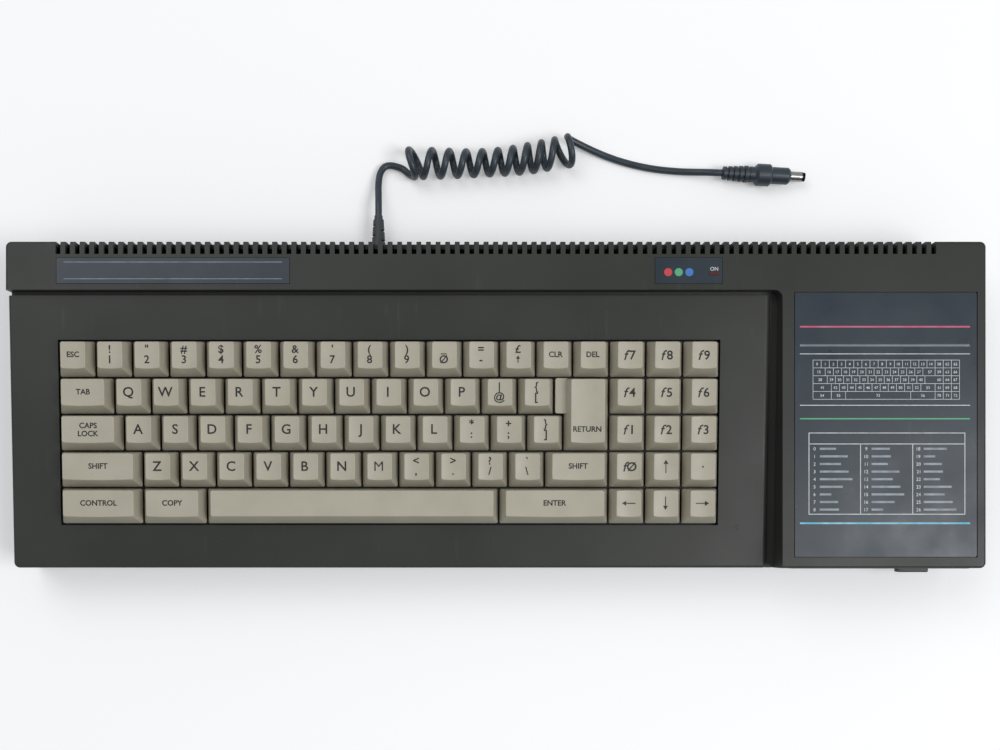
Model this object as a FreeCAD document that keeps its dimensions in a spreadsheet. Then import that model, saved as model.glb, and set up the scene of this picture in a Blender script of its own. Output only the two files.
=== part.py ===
"""Vintage home computer with a full keyboard, a disc drive block and a curly power lead.

Own frame: +X to the right of the person typing, +Y to the back, +Z up, origin on the table
under the middle of the case. Lengths are in millimetres and angles in degrees.
"""

import FreeCAD, Part

import math
import os
import re

import Sketcher

Vector = FreeCAD.Vector
Rotation = FreeCAD.Rotation
Placement = FreeCAD.Placement

SIZES = {
    # case
    "case_width": 510,
    "case_depth": 170,
    "case_height": 48,
    "shell_wall": 2.5,
    "corner_radius": 3,
    "edge_radius": 1.5,
    "parting_height": 24,
    "foot_height": 2,
    "foot_radius": 6,
    "foot_inset_x": 32,
    "foot_inset_y": 20,
    # ridge, deck and drive block of the upper shell
    "ridge_depth": 25,
    "groove_width": 2.3,
    "groove_depth": 4,
    "deck_drop": 4.5,
    "deck_slope": 3.2,
    "deck_wall": 2.5,
    "deck_roll": 3.2,
    "block_width": 106,
    "valley_width": 4.3,
    # vents of the ridge
    "vent_count": 92,
    "vent_pitch": 5,
    "vent_width": 2.5,
    "vent_reach": 6.7,
    "vent_drop": 7,
    # plates set into the upper shell
    "plate_thickness": 0.7,
    "plate_recess": 0.5,
    "plate_gap": 0.25,
    "plate_front": 3,
    "name_plate_left": 26.8,
    "name_plate_width": 120.9,
    "name_plate_depth": 13.2,
    "indicator_left": 337.8,
    "indicator_width": 34.8,
    "indicator_depth": 13.3,
    "lamp_width": 5.2,
    "lamp_depth": 1.8,
    "lamp_left": 27.9,
    "lamp_front": 4.3,
    "lamp_stem": 8,
    "lamp_rise": 0.2,
    "panel_width": 94.5,
    "panel_depth": 137.2,
    "panel_thickness": 0.9,
    "panel_recess": 1,
    "panel_gap": 0.4,
    "panel_side": 5.1,
    "panel_front": 6,
    # case screws and their posts
    "screw_radius": 1.7,
    "screw_length": 24,
    "screw_head_radius": 3,
    "screw_head_height": 2.4,
    "screw_recess": 4,
    "screw_fit": 0.08,
    "post_radius": 4.5,
    "post_inset_x": 15,
    "post_inset_front": 9,
    "post_inset_back": 14.5,
    # keys
    "key_pitch": 19.25,
    "key_gap": 0.95,
    "key_columns": 18,
    "key_rows": 5,
    "key_field_left": 26.6,
    "key_field_back": 24,
    "key_sink": 0.5,
    "key_travel": 3.5,
    "cap_height": 9,
    "cap_side_inset": 2.8,
    "cap_front_inset": 4,
    "cap_back_inset": 0.9,
    "cap_wall": 1.2,
    "cap_roof": 1.8,
    "cap_corner": 1.1,
    "cap_edge": 0.35,
    "dish_depth": 0.9,
    "ledge_height": 3,
    "stem_radius": 3,
    "stem_depth": 12,
    "guide_fit": 0.3,
    "guide_wall": 1.1,
    "guide_rise": 2,
    "space_stem_spread": 60,
    "enter_stem_spread": 18,
    # keyboard frame, springs and back plate
    "aperture_margin": 1,
    "frame_rim": 7,
    "frame_wall": 2.5,
    "frame_gap": 0.4,
    "frame_deck": 5,
    "frame_floor": 3,
    "frame_depth": 16,
    "back_plate_thickness": 1.2,
    "spring_radius": 4.8,
    "spring_wire": 0.3,
    # main board
    "board_height": 9,
    "board_thickness": 1.6,
    "board_edge": 1.5,
    "board_front": 55,
    "board_right": 395,
    "board_wing": 26,
    "board_side": 7,
    "board_post_radius": 3,
    "tab_reach": 3.5,
    "tab_margin": 3,
    "window_height": 11.5,
    "expansion_width": 66,
    "port_width": 45.7,
    # sockets
    "din_size": 13.2,
    "din_depth": 12,
    "din_ring": 6.3,
    "din_slot": 6.4,
    "din_pin": 0.8,
    "jack_size": 10,
    "jack_depth": 12.3,
    "jack_nose": 2.9,
    "jack_bore": 1.8,
    "supply_nose": 4.6,
    "supply_bore": 2.9,
    "supply_pin": 1,
    "joystick_width": 17,
    "joystick_height": 8.4,
    "joystick_shell": 1,
    "joystick_pin": 0.5,
    "socket_fit": 0.3,
    "socket_proud": 2,
    # volume wheel and power switch
    "wheel_radius": 9,
    "wheel_thickness": 3.2,
    "wheel_proud": 1.3,
    "wheel_lift": 3.6,
    "wheel_notches": 24,
    "notch_radius": 0.6,
    "axle_radius": 2,
    "axle_fit": 0.06,
    "wheel_y": 20,
    "switch_back": 23,
    "switch_width": 3.2,
    "switch_height": 3.6,
    "switch_travel": 4,
    "switch_proud": 1.3,
    "switch_housing": 7,
    # disc drive
    "drive_side_gap": 3.5,
    "drive_front": 7,
    "drive_length": 128,
    "drive_bottom": 8,
    "drive_height": 32,
    "drive_wall": 2,
    "drive_deck": 10,
    "bezel_bottom": 8.6,
    "bezel_height": 33.2,
    "bezel_thickness": 3.3,
    "bezel_proud": 0.3,
    "bezel_gap": 0.3,
    "bezel_edge": 0.5,
    "slot_width": 82,
    "slot_height": 5.8,
    "slot_bottom": 24,
    "flap_thickness": 1,
    "flap_side_gap": 0.3,
    "flap_pin_radius": 0.6,
    "flap_pin_length": 1.1,
    "flap_hang": 0.8,
    "pin_fit": 0.06,
    "button_width": 16,
    "button_height": 6,
    "button_bottom": 13,
    "button_from_right": 20,
    "button_proud": 2.5,
    "button_travel": 2.5,
    "button_fit": 0.3,
    "button_lip": 1.5,
    "button_rod": 1.5,
    "drive_lamp_radius": 1.5,
    "drive_lamp_from_left": 14,
    "spindle_front": 58,
    "spindle_radius": 3,
    "hub_radius": 9,
    "hub_height": 2.4,
    "flywheel_radius": 30,
    "flywheel_thickness": 5,
    "flywheel_drop": 2.5,
    "spin_gap": 0.4,
    "motor_radius": 13,
    "motor_height": 17,
    "motor_x": 22,
    "motor_back": 16,
    "motor_shaft": 1,
    "pulley_radius": 5.5,
    "belt_width": 3,
    "belt_thickness": 0.8,
    "belt_gap": 0.3,
    "rail_radius": 1.5,
    "rail_spread": 16,
    "rail_height": 36,
    "rail_start": 73,
    "carriage_width": 28,
    "carriage_length": 18,
    "carriage_height": 5,
    "carriage_travel": 14,
    # power lead
    "lead_diameter": 3.8,
    "lead_x": -62.6,
    "lead_height": 10,
    "relief_length": 21.4,
    "relief_radius": 4.2,
    "relief_tip": 2.9,
    "relief_collar": 2.3,
    "relief_collar_length": 2.3,
    "relief_neck": 3.4,
    "relief_slots": 5,
    "relief_slot_pitch": 2.8,
    "relief_slot_width": 1.1,
    "curl_count": 11,
    "curl_radius": 6.7,
    "curl_pitch": 9.9,
    "curl_tighten": 0.162,
    "grip_length": 14.7,
    "grip_ribs": 5,
    "grip_radius": 3.6,
    "plug_radius": 4.55,
    "plug_collar": 5.95,
    "plug_collar_start": 18.2,
    "plug_collar_length": 8.2,
    "plug_length": 37,
    "barrel_radius": 2.75,
    "barrel_length": 6.8,
    "barrel_tip": 1.5,
    "barrel_bore": 1.05,
}

PLACES = {
    # places worked out from the driving sizes
    "half_width": "case_width / 2",
    "half_depth": "case_depth / 2",
    "inner_width": "half_width - shell_wall",
    "inner_depth": "half_depth - shell_wall",
    "inner_top": "case_height - shell_wall",
    "floor_top": "foot_height + shell_wall",
    "ridge_front": "half_depth - ridge_depth",
    "deck_back": "ridge_front - groove_width",
    "deck_height": "case_height - deck_drop",
    "block_left": "half_width - block_width",
    "deck_right": "block_left - valley_width",
    "field_left": "key_field_left - half_width",
    "field_width": "key_columns * key_pitch - key_gap",
    "field_depth": "key_rows * key_pitch - key_gap",
    "well_left": "field_left - aperture_margin",
    "well_right": "field_left + field_width + aperture_margin",
    "well_back": "aperture_margin - key_field_back",
    "well_front": "-key_field_back - field_depth - aperture_margin",
    "cap_depth": "key_pitch - key_gap",
    "stem_back": "(cap_depth + cap_back_inset - cap_front_inset) / 2",
    "plate_y": "ridge_front + plate_front",
    "plate_seat": "case_height - plate_recess",
    "plate_top": "plate_seat + plate_thickness",
    "name_x": "name_plate_left - half_width",
    "indicator_x": "indicator_left - half_width",
    "panel_right": "half_width - panel_side",
    "panel_y": "panel_front - half_depth",
    "panel_seat": "case_height - panel_recess",
    "post_x": "half_width - post_inset_x",
    "post_front": "post_inset_front - half_depth",
    "post_back": "half_depth - post_inset_back",
    "screw_seat": "foot_height + screw_recess + screw_head_height",
    "board_top": "board_height + board_thickness",
    "board_x": "inner_width - board_edge",
    "board_back": "inner_depth - shell_wall",
    "board_y": "board_front - half_depth",
    "board_end": "board_right - half_width",
    "drive_left": "block_left + shell_wall + drive_side_gap",
    "drive_right": "inner_width - drive_side_gap",
    "drive_middle": "(drive_left + drive_right) / 2",
    "drive_y": "drive_front - half_depth",
    "drive_back": "drive_y + drive_length",
    "spindle_y": "drive_y + spindle_front",
    "rail_front": "drive_y + rail_start",
    "motor_y": "drive_back - motor_back",
    "switch_y": "half_depth - switch_back",
    "drive_top": "drive_bottom + drive_height",
    "drive_deck_low": "drive_bottom + drive_deck",
    "drive_deck_top": "drive_deck_low + drive_wall",
    "bezel_face": "-half_depth - bezel_proud",
    "bezel_rear": "bezel_face + bezel_thickness",
    "slot_left": "drive_middle - slot_width / 2",
    "slot_top": "slot_bottom + slot_height",
    "flap_z": "slot_top - flap_hang",
    "flap_y": "bezel_face + bezel_thickness / 2 + flap_thickness / 2",
    "button_x": "drive_right - button_from_right",
    "button_z": "button_bottom + button_height / 2",
    "drive_lamp_x": "drive_left + drive_lamp_from_left / 2",
    "flywheel_low": "drive_bottom + flywheel_drop",
    "flywheel_top": "flywheel_low + flywheel_thickness",
    "belt_low": "flywheel_low + (flywheel_thickness - belt_width) / 2",
    "motor_left": "drive_left + motor_x - drive_side_gap - shell_wall",
    "wheel_x": "wheel_radius - half_width - wheel_proud",
    "wheel_low": "board_top + wheel_lift",
    "wheel_at": "-wheel_y",
    "switch_z": "board_top + switch_housing / 2",
}

doc = FreeCAD.newDocument("home_computer")
sizes = doc.addObject("Spreadsheet::Sheet", "sizes")
places = doc.addObject("Spreadsheet::Sheet", "places")


def link(text):
    """Turns names of cells in an expression into references to their sheets."""

    def owner(match):
        word = match.group(0)
        if word in SIZES:
            return f"sizes.{word}"
        return f"places.{word}" if word in PLACES else word

    return re.sub(r"[A-Za-z_]+", owner, str(text))


def fill_sheets():
    for row, (name, amount) in enumerate(SIZES.items(), 1):
        sizes.set(f"A{row}", name)
        sizes.set(f"B{row}", str(amount))
        sizes.setAlias(f"B{row}", name)
    for row, (name, text) in enumerate(PLACES.items(), 1):
        places.set(f"A{row}", name)
        places.set(f"B{row}", "=" + link(text))
        places.setAlias(f"B{row}", name)
    doc.recompute()


def number(text):
    return float(sizes.evalExpression(link(text)))


def bind(thing, prop, text):
    thing.setExpression(prop, link(text))


def put(thing, x="0", y="0", z="0"):
    """Binds the place of an object to three expressions."""
    for axis, text in zip("xyz", (x, y, z)):
        bind(thing, f"Placement.Base.{axis}", text)
    return thing


def turn(thing, axis, angle):
    thing.Placement = Placement(thing.Placement.Base, Rotation(Vector(*axis), angle))
    return thing


def on_deck(thing, x="0", y="0", z="0"):
    """Places an object by its coordinates along the sloping deck, from the deck's back edge."""
    turn(thing, (1, 0, 0), number("deck_slope"))
    bind(thing, "Placement.Rotation.Angle", "deck_slope")
    slope_y = f"deck_back + ({y}) * cos(deck_slope) - ({z}) * sin(deck_slope)"
    slope_z = f"deck_height + ({y}) * sin(deck_slope) + ({z}) * cos(deck_slope)"
    return put(thing, x, slope_y, slope_z)


def block(name, x, y, z, tilted=False):
    """A box between pairs of expressions, level or lying along the deck."""
    solid = doc.addObject("Part::Box", name)
    for prop, (low, high) in zip(("Length", "Width", "Height"), (x, y, z)):
        bind(solid, prop, f"({high}) - ({low})")
    place = on_deck if tilted else put
    return place(solid, x[0], y[0], z[0])


def rod(name, radius, length, x, y, z, axis=None):
    """A cylinder from a point, upwards or along a turned axis."""
    solid = doc.addObject("Part::Cylinder", name)
    bind(solid, "Radius", radius)
    bind(solid, "Height", length)
    if axis == "back":
        turn(solid, (1, 0, 0), -90)
    if axis == "right":
        turn(solid, (0, 1, 0), 90)
    return put(solid, x, y, z)


def fuse(name, *things):
    solid = doc.addObject("Part::MultiFuse", name)
    solid.Shapes = list(things)
    return solid


def group(name, *things):
    solid = doc.addObject("Part::Compound", name)
    solid.Links = list(things)
    return solid


def cut(name, base, *tools):
    solid = doc.addObject("Part::Cut", name)
    solid.Base = base
    solid.Tool = tools[0] if len(tools) == 1 else fuse(name + "_tools", *tools)
    return solid


def common(name, base, tool):
    solid = doc.addObject("Part::Common", name)
    solid.Base = base
    solid.Tool = tool
    return solid


def rounded(name, base, radius, pick):
    """Fillets the edges of an object that the test picks."""
    doc.recompute()
    size = number(radius)
    edges = [i for i, edge in enumerate(base.Shape.Edges, 1) if pick(edge)]
    solid = doc.addObject("Part::Fillet", name)
    solid.Base = base
    solid.Edges = [(i, size, size) for i in edges]
    return solid


def along(edge, direction, share=0.999):
    """Whether an edge is straight along a direction."""
    if not isinstance(edge.Curve, Part.Line):
        return False
    return abs(edge.tangentAt(edge.FirstParameter).dot(Vector(*direction))) > share


def copy_of(thing, name, x="0", y="0", z="0"):
    twin = doc.addObject("App::Link", name)
    twin.LinkedObject = thing
    return put(twin, x, y, z)


def labelled(thing, label):
    thing.Label = label
    NODES.append(thing)
    return thing


NODES = []


def outline(body, name, role, points, offset="0"):
    """A closed sketch of straight lines whose corners are bound to pairs of expressions."""
    drawing = body.newObject("Sketcher::SketchObject", name)
    plane = next(f for f in body.Origin.OriginFeatures if f.Role == role)
    drawing.AttachmentSupport = [(plane, "")]
    drawing.MapMode = "FlatFace"
    bind(drawing, "AttachmentOffset.Base.z", offset)
    spots = [(number(u), number(v)) for u, v in points]
    for k, (u, v) in enumerate(spots):
        end = spots[(k + 1) % len(spots)]
        drawing.addGeometry(Part.LineSegment(Vector(u, v, 0), Vector(*end, 0)), False)
    for k in range(len(spots)):
        drawing.addConstraint(Sketcher.Constraint("Coincident", k, 2, (k + 1) % len(spots), 1))
    for k, pair in enumerate(points):
        for kind, letter, text in zip(("DistanceX", "DistanceY"), "uv", pair):
            index = drawing.addConstraint(Sketcher.Constraint(kind, -1, 1, k, 1, number(text)))
            drawing.renameConstraint(index, f"{letter}{k}")
            bind(drawing, f"Constraints.{letter}{k}", text)
    return drawing


def circle(body, name, role, radius, u="0", v="0"):
    """A sketch of one circle with a bound radius and centre."""
    drawing = body.newObject("Sketcher::SketchObject", name)
    plane = next(f for f in body.Origin.OriginFeatures if f.Role == role)
    drawing.AttachmentSupport = [(plane, "")]
    drawing.MapMode = "FlatFace"
    centre = Vector(number(u), number(v), 0)
    drawing.addGeometry(Part.Circle(centre, Vector(0, 0, 1), number(radius)), False)
    for kind, letter, text in zip(("DistanceX", "DistanceY"), "uv", (u, v)):
        index = drawing.addConstraint(Sketcher.Constraint(kind, -1, 1, 0, 3, number(text)))
        drawing.renameConstraint(index, letter)
        bind(drawing, f"Constraints.{letter}", text)
    index = drawing.addConstraint(Sketcher.Constraint("Radius", 0, number(radius)))
    drawing.renameConstraint(index, "radius")
    bind(drawing, "Constraints.radius", radius)
    return drawing


def pad(body, name, drawing, length):
    feature = body.newObject("PartDesign::Pad", name)
    feature.Profile = drawing
    bind(feature, "Length", length)
    body.Tip = feature
    return feature


def revolved(name, points):
    """A body turned round its own Z axis from an outline of radius and height."""
    body = doc.addObject("PartDesign::Body", name)
    drawing = outline(body, name + "_outline", "XZ_Plane", points)
    feature = body.newObject("PartDesign::Revolution", name + "_turned")
    feature.Profile = drawing
    feature.ReferenceAxis = (drawing, ["V_Axis"])
    feature.Angle = 360
    body.Tip = feature
    return body


fill_sheets()


# upper shell
def shell_posts():
    """The places of the case screws, two rows of three."""
    for x in ("-post_x", "board_end - post_inset_x", "post_x"):
        for y in ("post_front", "post_back"):
            if x == "post_x" and y == "post_front":
                continue
            yield x, y
    yield "0", "post_back"
    yield "-case_width / 10", "post_front"


def top_outside():
    """The level block with the sloping deck sunk into it and a groove round the deck."""
    case = block(
        "case_block",
        ("-half_width", "half_width"),
        ("-half_depth", "half_depth"),
        ("parting_height", "case_height"),
    )
    case = rounded("case_round", case, "corner_radius", lambda e: along(e, (0, 0, 1)))
    recess = block(
        "deck_recess",
        ("-half_width - 5", "block_left"),
        ("-case_depth", "groove_width"),
        ("-groove_depth", "case_height"),
        tilted=True,
    )
    back_right = number("block_left")
    recess = rounded(
        "recess_round",
        recess,
        "valley_width",
        lambda e: abs(e.CenterOfMass.x - back_right) < 0.01 and e.Length > number("case_height")
        and e.CenterOfMass.y > 0,
    )
    island = block(
        "deck_island",
        ("-half_width - 5", "deck_right"),
        ("-case_depth", "0"),
        ("-2 * groove_depth", "0"),
        tilted=True,
    )
    roll_x = number("deck_right")
    island = rounded(
        "island_roll",
        island,
        "deck_roll",
        lambda e: abs(e.CenterOfMass.x - roll_x) < 0.01
        and e.CenterOfMass.z > number("deck_height") - number("case_depth") * 0.05
        and e.Length > number("case_depth") - 1,
    )
    deck = common("deck_solid", island, case)
    outside = fuse("top_outside", cut("case_sunk", case, recess), deck)
    front = -number("half_depth")
    left = -number("half_width")
    parting = number("parting_height")

    def top_edge(edge):
        box = edge.BoundBox
        low = box.ZMin > parting + 1
        on_front = box.YMax < front + 0.01
        on_left = box.XMax < left + 0.01
        on_right = box.XMin > -left - 0.01
        on_back = box.YMin > -front - 0.01
        level = box.ZLength < 0.1 * max(box.XLength, box.YLength)
        return low and level and (on_front or on_left or on_right or on_back)

    return rounded("top_round", outside, "edge_radius", top_edge)


def top_hollow():
    """The room inside the upper shell."""
    inside = block(
        "top_inside",
        ("-inner_width", "inner_width"),
        ("-inner_depth", "inner_depth"),
        ("parting_height", "inner_top"),
    )
    under_deck = block(
        "room_under_deck",
        ("-case_width", "block_left + shell_wall"),
        ("-case_depth", "groove_width + shell_wall"),
        ("-case_height", "-groove_depth - shell_wall"),
        tilted=True,
    )
    frame_seat = block(
        "room_for_frame",
        ("well_left - frame_rim - frame_gap", "well_right + frame_rim + frame_gap"),
        ("well_front - frame_rim - frame_gap", "well_back + frame_rim + frame_gap"),
        ("-case_height", "-deck_wall"),
        tilted=True,
    )
    sunk = common("room_sunk", fuse("rooms_tilted", under_deck, frame_seat), inside)
    ridge = block(
        "room_ridge",
        ("-inner_width", "inner_width"),
        ("ridge_front + shell_wall", "inner_depth"),
        ("parting_height", "inner_top"),
    )
    drive = block(
        "room_drive",
        ("block_left + shell_wall", "inner_width"),
        ("-inner_depth", "inner_depth"),
        ("parting_height", "inner_top"),
    )
    return fuse("top_hollow", sunk, ridge, drive)


def vents():
    """The row of slots along the back of the ridge, each cut over its top and back."""
    slot = block(
        "vent_slot",
        ("-vent_width / 2", "vent_width / 2"),
        ("half_depth - vent_reach", "half_depth + 1"),
        ("case_height - vent_drop", "case_height + 1"),
    )
    first = "-(vent_count - 1) * vent_pitch / 2"
    row = [slot]
    put(slot, f"{first} - vent_width / 2", "half_depth - vent_reach", "case_height - vent_drop")
    for k in range(1, int(number("vent_count"))):
        row.append(copy_of(slot, f"vent_{k}", f"{first} - vent_width / 2 + {k} * vent_pitch",
                           "half_depth - vent_reach", "case_height - vent_drop"))
    return group("vents", *row)


def bezel_window(name, low, high):
    return block(
        name,
        ("drive_left - bezel_gap", "drive_right + bezel_gap"),
        ("-half_depth - 1", "-inner_depth + 0.5"),
        (low, high),
    )


def top_case():
    outside = top_outside()
    shell = cut("top_shell", outside, top_hollow())
    pillars = [
        rod(f"boss_{k}", "post_radius", "case_height - parting_height", x, y, "parting_height")
        for k, (x, y) in enumerate(shell_posts())
    ]
    bosses = common("bosses", outside, group("boss_rods", *pillars))
    well = block(
        "key_well",
        ("well_left", "well_right"),
        ("well_front", "well_back"),
        ("-case_height / 2", "deck_drop"),
        tilted=True,
    )
    name_seat = block(
        "name_seat",
        ("name_x - plate_gap", "name_x + name_plate_width + plate_gap"),
        ("plate_y - plate_gap", "plate_y + name_plate_depth + plate_gap"),
        ("plate_seat", "case_height + 1"),
    )
    indicator_seat = block(
        "indicator_seat",
        ("indicator_x - plate_gap", "indicator_x + indicator_width + plate_gap"),
        ("plate_y - plate_gap", "plate_y + indicator_depth + plate_gap"),
        ("plate_seat", "case_height + 1"),
    )
    lamp_hole = block(
        "lamp_hole",
        ("indicator_x + lamp_left - 0.1", "indicator_x + lamp_left + lamp_width + 0.1"),
        ("plate_y + lamp_front - 0.1", "plate_y + lamp_front + lamp_depth + 0.1"),
        ("case_height - lamp_stem", "case_height + 1"),
    )
    panel_seat = block(
        "panel_seat_room",
        ("panel_right - panel_width - panel_gap", "panel_right + panel_gap"),
        ("panel_y - panel_gap", "panel_y + panel_depth + panel_gap"),
        ("panel_seat", "case_height + 1"),
    )
    holes = [
        rod(f"boss_hole_{k}", "screw_radius + screw_fit", "screw_length + 2",
            x, y, "screw_seat")
        for k, (x, y) in enumerate(shell_posts())
    ]
    opening = bezel_window("top_window", "parting_height - 1",
                           "bezel_bottom + bezel_height + bezel_gap")
    solid = fuse("top_joined", shell, bosses)
    solid = cut("top_opened", solid, well, name_seat, indicator_seat, lamp_hole, panel_seat,
                opening, group("boss_holes", *holes))
    labelled(cut("top_case", solid, vents()), "top_case")


# lower shell
def board_posts():
    for x in ("-board_x + 12", "0", "board_end - 12"):
        for y in ("board_y + 6", "board_y + 78"):
            yield x, y


def drive_posts():
    for x in ("drive_left + drive_wall / 2", "drive_right - drive_wall / 2"):
        for y in ("drive_y + 14", "drive_back - 8"):
            yield x, y


def back_tabs():
    """Name, middle and width of each board tab that reaches the back wall."""
    yield "expansion", "board_end - expansion_width / 2 + 8", "expansion_width"
    yield "second_disc", "board_end - expansion_width - port_width / 2 - 2", "port_width"
    yield "printer", "board_end - expansion_width - 1.5 * port_width - 16", "port_width"


def bottom_windows():
    for name, middle, width in back_tabs():
        yield block(
            f"{name}_window",
            (f"{middle} - {width} / 2 - tab_margin", f"{middle} + {width} / 2 + tab_margin"),
            ("inner_depth - 1", "half_depth + 1"),
            ("floor_top", "floor_top + window_height"),
        )
    yield rod("monitor_window", "din_ring + socket_fit", "shell_wall + 2",
              "lead_x - 55", "inner_depth - 1", "board_top + din_size / 2", "back")
    yield rod("supply_window", "supply_nose + socket_fit", "shell_wall + 2",
              "lead_x - 27", "inner_depth - 1", "board_top + jack_size / 2", "back")
    yield rod("lead_window", "relief_neck + 0.05", "shell_wall + 2",
              "lead_x", "inner_depth - 1", "lead_height", "back")
    yield rod("tape_window", "din_ring + socket_fit", "shell_wall + 2",
              "-half_width - 1", "half_depth / 2 + 6", "board_top + din_size / 2", "right")
    yield rod("audio_window", "jack_nose + socket_fit", "shell_wall + 2",
              "-half_width - 1", "-half_depth / 20", "board_top + jack_size / 2", "right")
    yield block(
        "joystick_window",
        ("-half_width - 1", "-inner_width + 1"),
        ("half_depth / 5 - joystick_width / 2 - 1 - socket_fit",
         "half_depth / 5 + joystick_width / 2 + 1 + socket_fit"),
        ("board_top + 1.5", "board_top + joystick_height + 3.5 + socket_fit"),
    )
    yield block(
        "wheel_window",
        ("-half_width - 1", "-inner_width + 1"),
        ("wheel_at - wheel_radius", "wheel_at + wheel_radius"),
        ("wheel_low - 0.8", "wheel_low + wheel_thickness + 0.8"),
    )
    yield block(
        "switch_window",
        ("inner_width - 1", "half_width + 1"),
        ("switch_y - 0.8", "switch_y + switch_width + switch_travel + 0.8"),
        ("switch_z - switch_height / 2 - 0.6", "switch_z + switch_height / 2 + 0.6"),
    )
    yield bezel_window("bottom_window", "bezel_bottom - bezel_gap", "parting_height + 1")


def bottom_case():
    tub = block(
        "tub_block",
        ("-half_width", "half_width"),
        ("-half_depth", "half_depth"),
        ("foot_height", "parting_height"),
    )
    tub = rounded("tub_round", tub, "corner_radius", lambda e: along(e, (0, 0, 1)))
    low = number("foot_height")
    tub = rounded("tub_edge", tub, "edge_radius", lambda e: e.BoundBox.ZMax < low + 0.01)
    room = block(
        "tub_room",
        ("-inner_width", "inner_width"),
        ("-inner_depth", "inner_depth"),
        ("floor_top", "parting_height + 1"),
    )
    posts = [
        rod(f"post_{k}", "post_radius", "parting_height - foot_height", x, y, "foot_height")
        for k, (x, y) in enumerate(shell_posts())
    ]
    stands = [
        rod(f"stand_{k}", "board_post_radius", "board_height - foot_height - 1", x, y,
            "foot_height + 1")
        for k, (x, y) in enumerate(board_posts())
    ]
    rests = [
        rod(f"rest_{k}", "board_post_radius", "drive_bottom - foot_height - 1", x, y,
            "foot_height + 1")
        for k, (x, y) in enumerate(drive_posts())
    ]
    heads = [
        rod(f"head_room_{k}", "screw_head_radius + 0.3", "screw_recess + screw_head_height",
            x, y, "foot_height")
        for k, (x, y) in enumerate(shell_posts())
    ]
    shanks = [
        rod(f"shank_room_{k}", "screw_radius + screw_fit", "parting_height", x, y, "foot_height")
        for k, (x, y) in enumerate(shell_posts())
    ]
    slots = []
    for k in range(14):
        slots.append(block(
            f"floor_slot_{k}",
            (f"-half_width / 2 + {k} * 2 * vent_pitch",
             f"-half_width / 2 + {k} * 2 * vent_pitch + vent_width"),
            ("board_y - 20", "board_y + 20"),
            ("foot_height - 1", "floor_top + 1"),
        ))
    solid = fuse("tub_joined", cut("tub", tub, room), *posts, *stands, *rests)
    solid = cut("tub_opened", solid, *bottom_windows(), group("floor_slots", *slots))
    holes = fuse("screw_rooms", *heads, *shanks)
    labelled(cut("bottom_case", solid, holes), "bottom_case")


def rubber_feet():
    body = revolved("foot", [
        ("0", "0"),
        ("foot_radius - 0.4", "0"),
        ("foot_radius", "0.4"),
        ("foot_radius", "foot_height"),
        ("0", "foot_height"),
    ])
    feet = []
    for k, x in enumerate(("foot_inset_x - half_width", "0", "half_width - foot_inset_x")):
        for side in ("-1", "1"):
            feet.append(copy_of(body, f"foot_{len(feet)}", x,
                                f"({side}) * (half_depth - foot_inset_y)"))
    labelled(group("feet", *feet), "rubber_feet")


def case_screws():
    body = revolved("screw", [
        ("0", "-screw_head_height"),
        ("screw_head_radius", "-screw_head_height"),
        ("screw_head_radius", "0"),
        ("screw_radius", "0"),
        ("screw_radius", "screw_length - 1"),
        ("screw_radius - 0.8", "screw_length"),
        ("0", "screw_length"),
    ])
    turned = [
        copy_of(body, f"screw_{k}", x, y, "screw_seat")
        for k, (x, y) in enumerate(shell_posts())
    ]
    labelled(group("screws", *turned), "case_screws")


# plates and lamps
def plates():
    def plate(name, x, width, depth):
        body = doc.addObject("PartDesign::Body", name)
        corners = [("0", "0"), (width, "0"), (width, depth), ("0", depth)]
        pad(body, name + "_pad", outline(body, name + "_outline", "XY_Plane", corners),
            "plate_thickness")
        return put(body, x, "plate_y", "plate_seat")

    labelled(plate("name_strip", "name_x", "name_plate_width", "name_plate_depth"), "name_plate")
    strip = plate("indicator_strip", "indicator_x", "indicator_width", "indicator_depth")
    window = block(
        "indicator_window",
        ("indicator_x + lamp_left - 0.1", "indicator_x + lamp_left + lamp_width + 0.1"),
        ("plate_y + lamp_front - 0.1", "plate_y + lamp_front + lamp_depth + 0.1"),
        ("plate_seat - 1", "plate_top + 1"),
    )
    labelled(cut("indicator", strip, window), "indicator_plate")
    panel = block(
        "panel_sheet",
        ("panel_right - panel_width", "panel_right"),
        ("panel_y", "panel_y + panel_depth"),
        ("panel_seat", "panel_seat + panel_thickness"),
    )
    labelled(rounded("panel", panel, "panel_thickness", lambda e: along(e, (0, 0, 1))),
             "drive_panel")
    power = block(
        "power_lamp",
        ("indicator_x + lamp_left", "indicator_x + lamp_left + lamp_width"),
        ("plate_y + lamp_front", "plate_y + lamp_front + lamp_depth"),
        ("case_height - lamp_stem", "plate_top + lamp_rise"),
    )
    drive = rod("drive_lamp", "drive_lamp_radius", "bezel_thickness + 2.5",
                "drive_lamp_x", "bezel_face - lamp_rise", "button_z", "back")
    labelled(group("lamps", power, drive), "indicator_lamps")


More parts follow.
